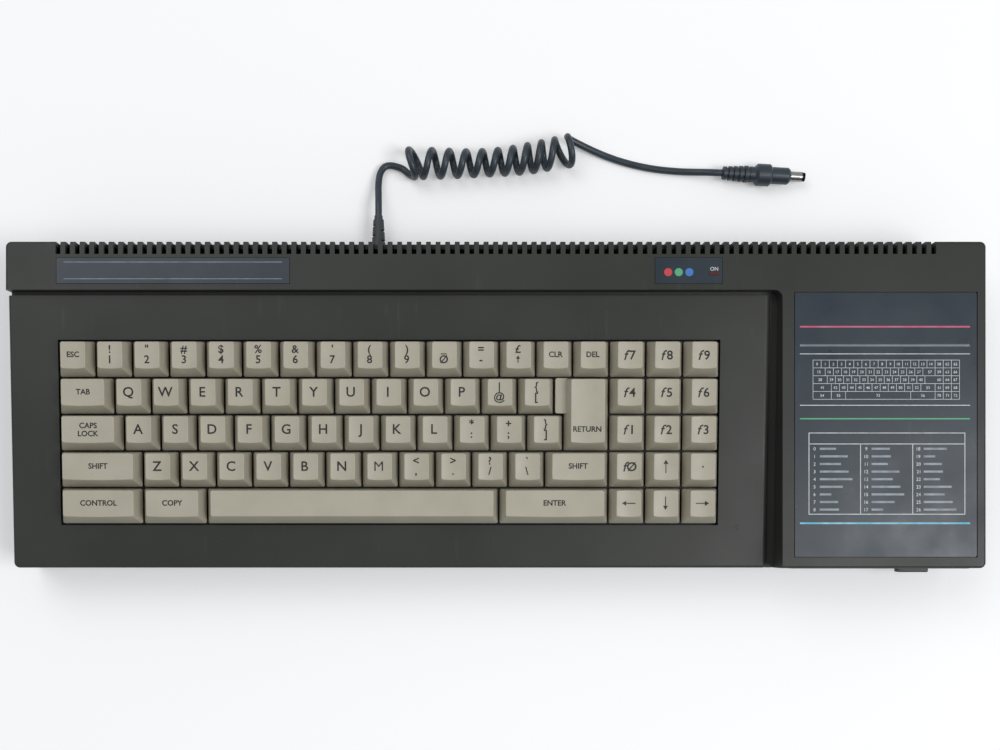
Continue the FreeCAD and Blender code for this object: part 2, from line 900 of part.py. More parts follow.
# keys
LETTER_COLUMNS = 12
KEYS = (
    [("escape_key", 0, 0, 1), ("clear_delete_keys", 0, 13, 1), ("clear_delete_keys", 0, 14, 1)]
    + [(f"key_column_{k + 1:02d}", 0, 1 + k, 1) for k in range(LETTER_COLUMNS)]
    + [(f"key_column_{k + 1:02d}", 1, 1.5 + k, 1) for k in range(LETTER_COLUMNS)]
    + [(f"key_column_{k + 1:02d}", 2, 1.75 + k, 1) for k in range(LETTER_COLUMNS)]
    + [(f"key_column_{k + 1:02d}", 3, 2.25 + k, 1) for k in range(LETTER_COLUMNS - 1)]
    + [("function_keys_left", row, 15, 1) for row in range(4)]
    + [("function_keys_middle", row, 16, 1) for row in range(3)]
    + [("function_keys_right", row, 17, 1) for row in range(4)]
    + [("cursor_keys", 3, 16, 1)]
    + [("cursor_keys", 4, unit, 1) for unit in (15, 16, 17)]
    + [
        ("tab_key", 1, 0, 1.5),
        ("caps_lock_key", 2, 0, 1.75),
        ("shift_left_key", 3, 0, 2.25),
        ("control_key", 4, 0, 2.25),
        ("copy_key", 4, 2.25, 1.75),
        ("space_bar", 4, 4, 8),
        ("enter_key", 4, 12, 3),
        ("shift_right_key", 3, 13.25, 1.75),
        ("return_key", 1, 13.75, 1.25),
    ]
)
SPREADS = {"space_bar": "space_stem_spread", "enter_key": "enter_stem_spread"}
TALL = {"return_key": 2}


def stem_offsets(node):
    """How far the stems of a key stand from its middle."""
    return ("0", f"-{SPREADS[node]}", SPREADS[node]) if node in SPREADS else ("0",)


def stem_place(node, row, unit, wide):
    """The deck coordinates of each stem of a key."""
    tall = TALL.get(node, 1)
    for offset in stem_offsets(node):
        x = f"field_left + {unit} * key_pitch + ({wide} * key_pitch - key_gap) / 2 + ({offset})"
        yield x, f"-key_field_back - {row} * key_pitch - stem_back - {(tall - 1) / 2} * key_pitch"


def tapered(name, wide, deep, high, wall, lift="0"):
    """A wedge with slanting sides, thinner by a wall, standing on its larger face."""
    solid = doc.addObject("Part::Wedge", name)
    solid.Ymin = 0
    share = f"(({high}) / cap_height)"
    bind(solid, "Ymax", high)
    bind(solid, "Xmin", wall)
    bind(solid, "Xmax", f"{wide} - {wall}")
    bind(solid, "Zmin", wall)
    bind(solid, "Zmax", f"{deep} - {wall}")
    bind(solid, "X2min", f"{wall} + cap_side_inset * {share}")
    bind(solid, "X2max", f"{wide} - {wall} - cap_side_inset * {share}")
    bind(solid, "Z2min", f"{wall} + cap_back_inset * {share}")
    bind(solid, "Z2max", f"{deep} - {wall} - cap_front_inset * {share}")
    return turn(solid, (1, 0, 0), 90)


def key_cap(name, wide, tall=1, flat=False, offsets=("0",)):
    """A hollow cap with a dished top and a stem, its corner at the back left of its skirt."""
    width = f"({wide} * key_pitch - key_gap)"
    depth = f"({tall} * key_pitch - key_gap)"
    top = number("cap_height")
    cap = tapered(name + "_outer", width, depth, "cap_height", "0")
    cap = rounded(name + "_corners", cap, "cap_corner", lambda e: e.BoundBox.ZLength > top / 2)
    if not flat:
        dish = doc.addObject("Part::Cylinder", name + "_dish")
        half = f"({width} / 2 - cap_side_inset)"
        radius = f"({half} * {half} / (2 * dish_depth) + dish_depth / 2)"
        bind(dish, "Radius", radius)
        bind(dish, "Height", f"{depth} + 2")
        turn(dish, (1, 0, 0), 90)
        put(dish, f"{width} / 2", "1", f"cap_height - dish_depth + {radius}")
        cap = cut(name + "_dished", cap, dish)
    edge_low = top - number("dish_depth") - 0.01
    cap = rounded(name + "_softened", cap, "cap_edge", lambda e: e.BoundBox.ZMin > edge_low)
    inner = tapered(name + "_inner", width, depth, "cap_height - cap_roof", "cap_wall")
    parts = [cut(name + "_hollow", cap, inner)]
    stem_y = f"-stem_back - {(tall - 1) / 2} * key_pitch"
    for k, offset in enumerate(offsets):
        parts.append(rod(f"{name}_stem_{k}", "stem_radius",
                         "stem_depth - key_sink + cap_height - cap_roof / 2",
                         f"{width} / 2 + ({offset})", stem_y, "key_sink - stem_depth"))
    return parts


def key_shapes():
    """One cap for each width, by its name."""
    caps = {"1": fuse("cap_unit", *key_cap("unit", 1))}
    for node, row, unit, wide in KEYS:
        if wide == 1:
            continue
        parts = key_cap(node + "_cap", wide, TALL.get(node, 1), node == "space_bar",
                        stem_offsets(node))
        if node == "return_key":
            ledge = block(
                "return_ledge",
                ("-key_pitch / 4", "0.5 * cap_side_inset"),
                ("-cap_depth", "0"),
                ("0", "ledge_height"),
            )
            left = -number("key_pitch") / 4
            ledge = rounded("return_ledge_round", ledge, "cap_corner",
                            lambda e: along(e, (0, 0, 1)) and e.CenterOfMass.x < left + 0.01)
            skirt = tapered("return_skirt", f"({wide} * key_pitch - key_gap)",
                            "(2 * key_pitch - key_gap)", "cap_height", "0")
            ledge = cut("return_ledge_cut", ledge, skirt)
            caps[node] = group(node + "_pair", fuse(node + "_solid", *parts), ledge)
            continue
        caps[node] = fuse(node + "_solid", *parts)
    return caps


def keys():
    caps = key_shapes()
    found = {}
    for index, (node, row, unit, wide) in enumerate(KEYS):
        cap = caps["1"] if wide == 1 else caps[node]
        found.setdefault(node, []).append(copy_of(
            cap, f"key_{index}", f"field_left + {unit} * key_pitch",
            f"-key_field_back - {row} * key_pitch", "-key_sink"))
    for node, links in found.items():
        labelled(on_deck(group(node + "_set", *links)), node)


def all_stems():
    for key in KEYS:
        yield from stem_place(*key)


def keyboard_frame():
    outer = ("well_left - frame_rim", "well_right + frame_rim")
    outer_y = ("well_front - frame_rim", "well_back + frame_rim")
    rim = block("frame_block", outer, outer_y, ("-frame_depth", "-deck_wall"))
    well = block("frame_well", ("well_left", "well_right"), ("well_front", "well_back"),
                 ("-frame_deck", "0"))
    under = block(
        "frame_under",
        (f"{outer[0]} + frame_wall", f"{outer[1]} - frame_wall"),
        (f"{outer_y[0]} + frame_wall", f"{outer_y[1]} - frame_wall"),
        ("-frame_depth - 1", "-frame_deck - frame_floor"),
    )
    tray = cut("frame_tray", rim, well, under)
    spots = list(all_stems())
    low = "-frame_deck - frame_floor"
    guide = rod("guide", "stem_radius + guide_fit + guide_wall", f"guide_rise - ({low})",
                *spots[0], low)
    hole = rod("guide_hole", "stem_radius + guide_fit", f"guide_rise - ({low}) + 2",
               *spots[0], f"{low} - 1")
    guides = [guide]
    holes = [hole]
    for k, (x, y) in enumerate(spots[1:], 1):
        guides.append(copy_of(guide, f"guide_{k}", x, y, low))
        holes.append(copy_of(hole, f"guide_hole_{k}", x, y, f"{low} - 1"))
    solid = fuse("frame_joined", tray, group("guides", *guides))
    solid = cut("frame_solid", solid, group("guide_holes", *holes))
    labelled(on_deck(solid), "keyboard_frame")

    sleeve_height = "cap_height - cap_roof - key_sink + frame_deck"
    sleeve = cut(
        "spring_tube",
        rod("spring_outside", "spring_radius", sleeve_height, "0", "0", "0"),
        rod("spring_inside", "spring_radius - spring_wire", f"{sleeve_height} + 2", "0", "0", "-1"),
    )
    springs = [
        copy_of(sleeve, f"spring_{k}", x, y, "-frame_deck") for k, (x, y) in enumerate(spots)
    ]
    labelled(on_deck(group("springs", *springs)), "key_springs")
    plate = block("back_plate", outer, outer_y,
                  ("-frame_depth - back_plate_thickness", "-frame_depth"))
    labelled(on_deck(plate, outer[0], outer_y[0], "-frame_depth - back_plate_thickness"),
             "keyboard_backplate")


# electronics
def main_board():
    left = block(
        "board_main",
        ("-board_x", "board_end"),
        ("board_y", "board_back"),
        ("board_height", "board_top"),
    )
    wing = block(
        "board_wing_part",
        ("board_end", "inner_width - board_side + 3.5"),
        ("board_back - board_wing", "board_back"),
        ("board_height", "board_top"),
    )
    tabs = [
        block(f"{name}_tab", (f"{middle} - {width} / 2", f"{middle} + {width} / 2"),
              ("board_back - 1", "inner_depth + tab_reach - shell_wall"),
              ("board_height", "board_top"))
        for name, middle, width in back_tabs()
    ]
    holes = [
        rod(f"board_hole_{k}", "post_radius + 0.8", "board_thickness + 2", x, y,
            "board_height - 1")
        for k, (x, y) in enumerate(shell_posts()) if y == "post_back"
    ]
    solid = fuse("board_joined", left, wing, *tabs)
    labelled(cut("board", solid, *holes), "main_board")


CHIPS = (
    # left and front corner from the board's front left corner, length, depth, height
    (60, 12, 52, 14, 4),
    (60, 34, 52, 14, 4),
    (125, 12, 34, 14, 4),
    (170, 12, 34, 14, 4),
    (215, 12, 52, 14, 4),
    (280, 12, 52, 14, 4),
    (125, 40, 24, 24, 5),
)
MEMORY = 16


def board_chips():
    parts = []
    for k, (x, y, length, depth, height) in enumerate(CHIPS):
        parts.append(block(f"chip_{k}", (f"-board_x + {x}", f"-board_x + {x} + {length}"),
                           (f"board_y + {y}", f"board_y + {y} + {depth}"),
                           ("board_top", f"board_top + {height}")))
    for k in range(MEMORY):
        x = f"-board_x + 170 + {(k % 8) * 22}"
        y = f"board_y + {40 + 13 * (k // 8)}"
        parts.append(block(f"memory_{k}", (x, f"{x} + 19.4"), (y, f"{y} + 7"),
                           ("board_top", "board_top + 3.5")))
    for k in range(4):
        parts.append(rod(f"capacitor_{k}", "5", "11", f"-board_x + {34 + 14 * k}",
                         "board_back - 28", "board_top"))
    axle = revolved("volume_axle", [
        ("0", "0"),
        ("2 * axle_radius", "0"),
        ("2 * axle_radius", "wheel_lift - spin_gap"),
        ("axle_radius", "wheel_lift - spin_gap"),
        ("axle_radius", "wheel_lift + wheel_thickness + 1"),
        ("0", "wheel_lift + wheel_thickness + 1"),
    ])
    parts.append(put(axle, "wheel_x", "wheel_at", "board_top"))
    parts.append(block(
        "switch_box",
        ("inner_width - board_side", "inner_width - 3.7"),
        ("switch_y - 1.5", "switch_y + switch_width + switch_travel + 1.5"),
        ("board_top", "board_top + switch_housing"),
    ))
    labelled(group("chips", *parts), "board_chips")


def volume_wheel():
    body = doc.addObject("PartDesign::Body", "volume_disc")
    disc = circle(body, "volume_outline", "XY_Plane", "wheel_radius")
    pad(body, "volume_pad", disc, "wheel_thickness")
    for name, radius, u in (("notch", "notch_radius", "wheel_radius"),
                            ("bore", "axle_radius + axle_fit", "0")):
        drawing = circle(body, f"volume_{name}_outline", "XY_Plane", radius, u)
        hole = body.newObject("PartDesign::Pocket", f"volume_{name}")
        hole.Profile = drawing
        hole.Type = 1
        hole.Midplane = True
        body.Tip = hole
        doc.recompute()
        if name == "notch":
            ring = body.newObject("PartDesign::PolarPattern", "volume_notches")
            ring.Originals = [hole]
            ring.Axis = (disc, ["N_Axis"])
            ring.Angle = 360
            bind(ring, "Occurrences", "wheel_notches")
            body.Tip = ring
    labelled(put(body, "wheel_x", "wheel_at", "wheel_low"), "volume_wheel")


def power_switch():
    knob = block(
        "switch_knob",
        ("inner_width - 3.4", "half_width + switch_proud"),
        ("switch_y", "switch_y + switch_width"),
        ("switch_z - switch_height / 2", "switch_z + switch_height / 2"),
    )
    outer = number("half_width + switch_proud")
    labelled(rounded("switch", knob, "notch_radius",
                     lambda e: e.BoundBox.XMin > outer - 0.01), "power_switch")


def din_socket(name, pins, x, y, axis):
    """A round socket in its housing, with its contacts' holes in a ring."""
    middle = "board_top + din_size / 2"
    if axis == "back":
        box = block(name + "_box", (f"{x} - din_size / 2", f"{x} + din_size / 2"),
                    ("inner_depth - din_depth", "inner_depth"),
                    ("board_top", "board_top + din_size"))
        start = f"inner_depth - din_depth / 2"
        nose = rod(name + "_nose", "din_ring", "din_depth / 2 + socket_proud", x, start, middle, axis)
    else:
        box = block(name + "_box", ("-inner_width", "-inner_width + din_depth"),
                    (f"{y} - din_size / 2", f"{y} + din_size / 2"),
                    ("board_top", "board_top + din_size"))
        nose = rod(name + "_nose", "din_ring", "din_depth / 2 + socket_proud",
                   "-inner_width - socket_proud", y, middle, axis)
    holes = []
    depth = "din_depth / 2 + socket_proud"
    for k in range(pins):
        angle = 180 + 180 * k / (pins - 1) if pins < 6 else 210 + 240 * k / (pins - 1)
        across = f"din_slot * 0.55 * {math.cos(math.radians(angle)):.4f}"
        up = f"{middle} + din_slot * 0.55 * {math.sin(math.radians(angle)):.4f}"
        if axis == "back":
            holes.append(rod(f"{name}_hole_{k}", "din_pin", depth, f"{x} + {across}",
                             "inner_depth - din_depth / 2 + 0.5", up, axis))
        else:
            holes.append(rod(f"{name}_hole_{k}", "din_pin", depth,
                             "-inner_width - socket_proud - 0.5", f"{y} + {across}", up, axis))
    return cut(name, fuse(name + "_solid", box, nose), *holes)


def sockets():
    monitor = din_socket("monitor_socket", 6, "lead_x - 55", "0", "back")
    tape = din_socket("tape_socket", 5, "0", "half_depth / 2 + 6", "right")
    labelled(group("din_pair", monitor, tape), "din_sockets")

    middle = "board_top + jack_size / 2"
    audio_y = "-half_depth / 20"
    audio = fuse(
        "audio_solid",
        block("audio_box", ("-inner_width", "-inner_width + jack_depth"),
              (f"{audio_y} - jack_size / 2", f"{audio_y} + jack_size / 2"),
              ("board_top", "board_top + jack_size")),
        rod("audio_nose", "jack_nose", "socket_proud + 1", "-inner_width - socket_proud",
            audio_y, middle, "right"),
    )
    audio = cut("audio_jack", audio, rod("audio_bore", "jack_bore", "jack_depth + 1",
                                         "-half_width", audio_y, middle, "right"))
    supply_x = "lead_x - 27"
    supply = fuse(
        "supply_solid",
        block("supply_box", (f"{supply_x} - jack_size / 2", f"{supply_x} + jack_size / 2"),
              ("inner_depth - jack_depth", "inner_depth"),
              ("board_top", "board_top + jack_size")),
        rod("supply_nose_part", "supply_nose", "socket_proud + 1", supply_x, "inner_depth - 1",
            middle, "back"),
    )
    supply = cut("supply_hollow", supply, rod("supply_bore_part", "supply_bore", "jack_depth",
                                              supply_x, "inner_depth - 9", middle, "back"))
    supply = fuse("supply_jack", supply, rod("supply_pin_part", "supply_pin", "9.5", supply_x,
                                             "inner_depth - 9.5", middle, "back"))
    labelled(group("jack_pair", audio, supply), "jack_sockets")


def joystick_port():
    y = "half_depth / 5"
    low = "board_top + 2.5"
    across = (f"{y} - joystick_width / 2", f"{y} + joystick_width / 2")
    base = block("joystick_base", ("-inner_width", "-inner_width + 9"),
                 (f"{across[0]} - 6", f"{across[1]} + 6"),
                 ("board_top", "board_top + joystick_height + 4"))
    shell = block("joystick_shell_part", ("-half_width + 0.5", "-inner_width + 1"), across,
                  (low, f"{low} + joystick_height"))
    room = block(
        "joystick_room",
        ("-half_width", "-inner_width + 5"),
        (f"{across[0]} + joystick_shell", f"{across[1]} - joystick_shell"),
        (f"{low} + joystick_shell", f"{low} + joystick_height - joystick_shell"),
    )
    pins = []
    for k in range(9):
        upper = k < 5
        spot = f"{y} + {(k - 2) if upper else (k - 6.5)} * 2.76"
        height = f"{low} + joystick_height / 2 + {1.42 if upper else -1.42}"
        pins.append(rod(f"joystick_pin_{k}", "joystick_pin", "6", "-inner_width - 0.5",
                        spot, height, "right"))
    hollow = cut("joystick_hollow", fuse("joystick_solid", base, shell), room)
    labelled(fuse("joystick", hollow, *pins), "joystick_port")


# disc drive
def drive_chassis():
    ends = ("drive_y", "drive_back")
    left = block("chassis_left", ("drive_left", "drive_left + drive_wall"), ends,
                 ("drive_bottom", "drive_top"))
    right = block("chassis_right", ("drive_right - drive_wall", "drive_right"), ends,
                  ("drive_bottom", "drive_top"))
    deck = block("chassis_deck", ("drive_left", "drive_right"), ends,
                 ("drive_deck_low", "drive_deck_top"))
    rear = block("chassis_rear", ("drive_left", "drive_right"),
                 ("drive_back - drive_wall", "drive_back"), ("drive_deck_low", "drive_top"))
    bridge = block("chassis_bridge", ("drive_left", "drive_right"),
                   ("rail_front - drive_wall", "rail_front"), ("drive_top - 8", "drive_top"))
    rails = [
        rod(f"rail_{k}", "rail_radius", "drive_back - rail_front", f"drive_middle + {side} * rail_spread / 2",
            "rail_front - 1", "rail_height", "back")
        for k, side in enumerate((-1, 1))
    ]
    solid = fuse("chassis_solid", left, right, deck, rear, bridge, *rails)
    spindle = rod("spindle_bore", "spindle_radius + pin_fit", "drive_wall + 2", "drive_middle",
                  "spindle_y", "drive_deck_low - 1")
    shaft = rod("shaft_hole", "2 * motor_shaft", "drive_wall + 2", "motor_left", "motor_y",
                "drive_deck_low - 1")
    labelled(cut("chassis", solid, spindle, shaft), "drive_chassis")


def drive_bezel():
    face = block(
        "bezel_block",
        ("drive_left", "drive_right"),
        ("bezel_face", "bezel_rear"),
        ("bezel_bottom", "bezel_bottom + bezel_height"),
    )
    front = number("bezel_face")
    face = rounded("bezel_round", face, "bezel_edge", lambda e: e.BoundBox.YMax < front + 0.01)
    slot = block("bezel_slot", ("slot_left", "slot_left + slot_width"),
                 ("bezel_face - 1", "bezel_rear + 1"), ("slot_bottom", "slot_top"))
    button = block(
        "bezel_button_room",
        ("button_x - button_width / 2 - button_fit", "button_x + button_width / 2 + button_fit"),
        ("bezel_face - 1", "bezel_rear + 1"),
        ("button_bottom - button_fit", "button_bottom + button_height + button_fit"),
    )
    lamp = rod("bezel_lamp_room", "drive_lamp_radius", "bezel_thickness + 2", "drive_lamp_x",
               "bezel_face - 1", "button_z", "back")
    pin = rod("bezel_pin_room", "flap_pin_radius + pin_fit",
              "slot_width + 2 * flap_pin_length - 2 * flap_side_gap + 0.4",
              "slot_left + flap_side_gap - flap_pin_length - 0.2", "flap_y", "flap_z", "right")
    face = cut("bezel_opened", face, slot, button, lamp, pin)
    ears = [
        block(f"bezel_ear_{k}", (x, f"{x} + drive_wall"), ("bezel_rear - 0.5", "drive_y"),
              ("bezel_bottom + 2", "bezel_bottom + 12"))
        for k, x in enumerate(("drive_left", "drive_right - drive_wall"))
    ]
    labelled(fuse("bezel", face, *ears), "drive_bezel")


def drive_flap():
    side = "slot_left + flap_side_gap"
    plate = block(
        "flap_plate",
        (side, "slot_left + slot_width - flap_side_gap"),
        ("flap_y - flap_thickness / 2", "flap_y + flap_thickness / 2"),
        ("slot_bottom + flap_side_gap", "flap_z + 0.4"),
    )
    pins = rod("flap_pins", "flap_pin_radius", "slot_width - 2 * flap_side_gap + 2 * flap_pin_length",
               f"{side} - flap_pin_length", "flap_y", "flap_z", "right")
    labelled(fuse("flap", plate, pins), "drive_flap")


def eject_button():
    cap = block(
        "button_cap",
        ("button_x - button_width / 2", "button_x + button_width / 2"),
        ("bezel_face - button_proud", "bezel_rear + button_fit"),
        ("button_bottom", "button_bottom + button_height"),
    )
    front = number("bezel_face - button_proud")
    cap = rounded("button_round", cap, "edge_radius / 2",
                  lambda e: e.BoundBox.YMax < front + 0.01)
    lip = block(
        "button_lip_part",
        ("button_x - button_width / 2 - button_lip", "button_x + button_width / 2 + button_lip"),
        ("bezel_rear + button_fit", "bezel_rear + button_fit + 1"),
        ("button_bottom - button_lip", "button_bottom + button_height + button_lip"),
    )
    push = rod("button_push", "button_rod", "14", "button_x", "bezel_rear + button_fit",
               "button_z", "back")
    labelled(fuse("button", cap, lip, push), "eject_button")


def spindle_flywheel():
    top = "drive_deck_top + spin_gap - flywheel_low"
    body = revolved("flywheel", [
        ("0", "0"),
        ("flywheel_radius", "0"),
        ("flywheel_radius", "flywheel_thickness"),
        ("flywheel_radius - 3", "flywheel_thickness"),
        ("flywheel_radius - 3", "flywheel_thickness / 2"),
        ("spindle_radius + 3", "flywheel_thickness / 2"),
        ("spindle_radius + 3", "flywheel_thickness"),
        ("spindle_radius", "flywheel_thickness"),
        ("spindle_radius", top),
        ("hub_radius", top),
        ("hub_radius", f"{top} + hub_height"),
        ("0", f"{top} + hub_height"),
    ])
    labelled(put(body, "drive_middle", "spindle_y", "flywheel_low"), "spindle_flywheel")


def drive_motor():
    can = rod("motor_can", "motor_radius", "motor_height", "motor_left", "motor_y",
              "drive_deck_top")
    bore = rod("motor_bore", "motor_shaft + pin_fit", "motor_height * 0.6", "motor_left",
               "motor_y", "drive_deck_top - 1")
    top = number("drive_deck_top + motor_height")
    can = rounded("motor_round", can, "edge_radius", lambda e: e.BoundBox.ZMin > top - 0.01)
    labelled(cut("motor", can, bore), "drive_motor")
    body = revolved("pulley", [
        ("0", "0"),
        ("pulley_radius", "0"),
        ("pulley_radius", "flywheel_thickness"),
        ("motor_shaft", "flywheel_thickness"),
        ("motor_shaft", "drive_deck_top - flywheel_low + motor_height / 2"),
        ("0", "drive_deck_top - flywheel_low + motor_height / 2"),
    ])
    labelled(put(body, "motor_left", "motor_y", "flywheel_low"), "motor_pulley")


def belt_loop(extra):
    """The face inside a belt line at a distance from both wheels."""
    big = Vector(number("drive_middle"), number("spindle_y"), number("belt_low"))
    small = Vector(number("motor_left"), number("motor_y"), number("belt_low"))
    radius = number("flywheel_radius") + extra
    other = number("pulley_radius") + extra
    apart = small - big
    lean = math.acos((radius - other) / apart.Length)
    heading = math.atan2(apart.y, apart.x)

    def at(centre, size, angle):
        return centre + Vector(math.cos(angle), math.sin(angle), 0) * size

    first = heading + lean
    last = heading - lean
    edges = [
        Part.LineSegment(at(big, radius, last), at(small, other, last)),
        Part.Arc(at(small, other, last), at(small, other, heading), at(small, other, first)),
        Part.LineSegment(at(small, other, first), at(big, radius, first)),
        Part.Arc(at(big, radius, first), at(big, radius, heading + math.pi),
                 at(big, radius, last)),
    ]
    return Part.Face(Part.Wire([edge.toShape() for edge in edges]))


def drive_belt():
    gap = number("belt_gap")
    ring = belt_loop(gap + number("belt_thickness")).cut(belt_loop(gap))
    belt = doc.addObject("Part::Feature", "belt")
    belt.Shape = ring.Faces[0].extrude(Vector(0, 0, number("belt_width")))
    labelled(belt, "drive_belt")


def head_carriage():
    middle = "rail_height"
    start = "drive_back - drive_wall - carriage_length - 2"
    slab = block(
        "carriage_slab",
        ("drive_middle - carriage_width / 2", "drive_middle + carriage_width / 2"),
        (start, f"{start} + carriage_length"),
        (f"{middle} - carriage_height / 2", f"{middle} + carriage_height / 2"),
    )
    bores = [
        rod(f"carriage_bore_{k}", "rail_radius + pin_fit", "carriage_length + 2",
            f"drive_middle + {side} * rail_spread / 2", f"{start} - 1", middle, "back")
        for k, side in enumerate((-1, 1))
    ]
    arm = block("carriage_arm", ("drive_middle - 3", "drive_middle + 3"),
                (f"{start} - 10", f"{start} + 1"),
                (f"{middle} - carriage_height / 2", f"{middle} - carriage_height / 2 + 2"))
    labelled(cut("carriage", fuse("carriage_solid", slab, arm), *bores), "head_carriage")


# power lead
LEAD_START = [
    (-62.6, 108.7, 10.0),
    (-62.6, 115.0, 10.0),
    (-62.75, 120.6, 7.2),
    (-63.0, 126.6, 5.0),
]
LEAD_TAIL = [
    (76.5, 140.0, 1.9),
    (91.5, 136.9, 1.9),
    (105.5, 135.6, 2.0),
    (113.8, 134.9, 3.6),
    (121.41, 134.066, 5.95),
    (128.6, 133.7, 5.95),
]
PLUG_DIRECTION = Vector(0.9987, -0.0509, 0)
COIL_LENGTH = 10.75
STEPS_PER_TURN = 4


def tube(path, radius, start, direction):
    ring = Part.Wire([Part.Circle(start, direction, radius).toShape()])
    solid = Part.Wire(path).makePipeShell([ring], True, False)
    return solid if isinstance(solid, Part.Solid) else Part.Solid(solid)


def rounded_route(points, name):
    """Straight runs joined by tangent arcs as large as the runs allow."""
    edges = []
    radii = []
    start = points[0]
    for before, corner, after in zip(points, points[1:], points[2:]):
        into = corner - before
        out = after - corner
        half_turn = into.getAngle(out) / 2
        shorter = min(into.Length, out.Length)
        reach = 0.45 * shorter
        radii.append(reach / math.tan(half_turn))
        first = corner - into.normalize() * reach
        last = corner + out.normalize() * reach
        middle = (first + last) / 2
        sag = math.cos(half_turn) / (1 + math.cos(half_turn))
        crown = middle + (corner - middle) * sag
        edges.append(Part.LineSegment(start, first).toShape())
        edges.append(Part.Arc(first, crown, last).toShape())
        start = last
    edges.append(Part.LineSegment(start, points[-1]).toShape())
    length = sum(edge.Length for edge in edges)
    print(name, "radii", [round(r, 1) for r in radii], "length", round(length, 1))
    return edges


def lead_piece(label, points):
    radius = number("lead_diameter / 2")
    path = rounded_route(points, label)
    solid = tube(path, radius, points[0], points[1] - points[0])
    length = sum(edge.Length for edge in path)
    print(label, "volume over section times length",
          round(solid.Volume / (math.pi * radius**2 * length), 4))
    piece = doc.addObject("Part::Feature", label + "_tube")
    piece.Shape = solid
    labelled(piece, label)


def coil_point(turns):
    """The middle of the lead at a number of turns along the curls, from the first front."""
    wire = number("lead_diameter / 2")
    radius = number("curl_radius") + 0.55 * math.cos(2 * math.pi * turns / 9)
    last = number("curl_count") - 0.5
    x = -37.6 + number("curl_pitch") * (turns - 1) - number("curl_tighten") * (turns - 1) ** 2
    if turns < 1:
        x += 5.26 * math.cos(2 * math.pi * turns) * (1 - turns)
    if last - 1 < turns < last:
        x += 5.4 * math.sin(math.pi * (last - turns)) ** 2
    if turns > last:
        x += 14.4 * ((turns - last) / 0.25) ** 2
    axis_y = 138 + 7.7 * max(turns / last, 0) ** 3
    angle = 2 * math.pi * turns
    y = axis_y - radius * math.cos(angle)
    z = radius + wire + radius * math.sin(angle)
    return Vector(x, y, z)


def coil_direction(turns):
    step = 1e-4
    return (coil_point(turns + step) - coil_point(turns - step)).normalize()


def arc(start, corner, end):
    """The arc between two points that touches the lines from them to a corner."""
    half_turn = (corner - start).getAngle(end - corner) / 2
    middle = (start + end) / 2
    sag = math.cos(half_turn) / (1 + math.cos(half_turn))
    return Part.Arc(start, middle + (corner - middle) * sag, end).toShape()


def biarc(start, into, end, out):
    """Two arcs that leave one point and reach another along given directions."""
    span = end - start
    both = into + out
    along_both = span.dot(both)
    spread = 2 * (1 - into.dot(out))
    if spread < 1e-9:
        reach = span.dot(span) / (4 * span.dot(out))
    else:
        reach = (math.sqrt(along_both**2 + spread * span.dot(span)) - along_both) / spread
    first = start + into * reach
    last = end - out * reach
    joint = (first + last) / 2
    return [arc(start, first, joint), arc(joint, last, end)]


def coil_route():
    """The points and directions of the curls, with a straight diameter at each end."""
    diameter = number("lead_diameter")
    lead_in = (Vector(*LEAD_START[-1]) - Vector(*LEAD_START[-2])).normalize()
    begin = Vector(*LEAD_START[-1])
    knots = [
        (begin + lead_in * diameter, lead_in),
        (Vector(-55.1, 140.0, 2.3), Vector(1, 0, -0.08).normalize()),
    ]
    count = round((COIL_LENGTH + 0.25) * STEPS_PER_TURN)
    for k in range(count + 1):
        turns = -0.25 + k / STEPS_PER_TURN
        knots.append((coil_point(turns), coil_direction(turns)))
    return begin, knots, knots[-1][0] + knots[-1][1] * diameter


def least_gap(points, diameter):
    """The least gap between stretches of the curls more than half a turn apart."""
    least = math.inf
    travelled = [0]
    for a, b in zip(points, points[1:]):
        travelled.append(travelled[-1] + (b - a).Length)
    for i, a in enumerate(points):
        for j in range(i + 1, len(points)):
            if travelled[j] - travelled[i] > 3 * diameter:
                least = min(least, (points[j] - a).Length)
    return least - diameter


def lead_curls():
    begin, knots, end = coil_route()
    path = [Part.LineSegment(begin, knots[0][0]).toShape()]
    for (start, into), (stop, out) in zip(knots, knots[1:]):
        path += biarc(start, into, stop, out)
    path.append(Part.LineSegment(knots[-1][0], end).toShape())
    radius = number("lead_diameter / 2")
    solid = tube(path, radius, begin, knots[0][1])
    points = [p for edge in path for p in edge.discretize(8)[:-1]]
    print("lead_curls least gap", round(least_gap(points, 2 * radius), 2),
          "length", round(sum(edge.Length for edge in path), 1))
    piece = doc.addObject("Part::Feature", "lead_curls_tube")
    piece.Shape = solid
    labelled(piece, "lead_curls")
    return end, knots[-1][1]


def strain_relief():
    slope = "(relief_radius - relief_tip) / relief_length"
    wall = "shell_wall + 1"
    body = revolved("relief", [
        ("0", "0"),
        ("relief_neck + 1.5", "0"),
        ("relief_neck + 1.5", "1"),
        ("relief_neck", "1"),
        ("relief_neck", wall),
        ("relief_radius", wall),
        ("relief_tip", f"{wall} + relief_length"),
        ("relief_collar", f"{wall} + relief_length"),
        ("relief_collar", f"{wall} + relief_length + relief_collar_length"),
        ("0", f"{wall} + relief_length + relief_collar_length"),
    ])
    turn(body, (1, 0, 0), -90)
    put(body, "lead_x", "inner_depth - 1", "lead_height")
    slots = []
    for k in range(int(number("relief_slots"))):
        y = f"half_depth + relief_length - 3 - {k} * relief_slot_pitch"
        side = ("lead_x - 10", "lead_x - 1.6") if k % 2 == 0 else ("lead_x + 1.6", "lead_x + 10")
        slots.append(block(f"relief_slot_{k}", side, (f"{y} - relief_slot_width", y),
                           ("lead_height - 10", "lead_height + 10")))
    labelled(cut("relief_cut", body, *slots), "strain_relief")


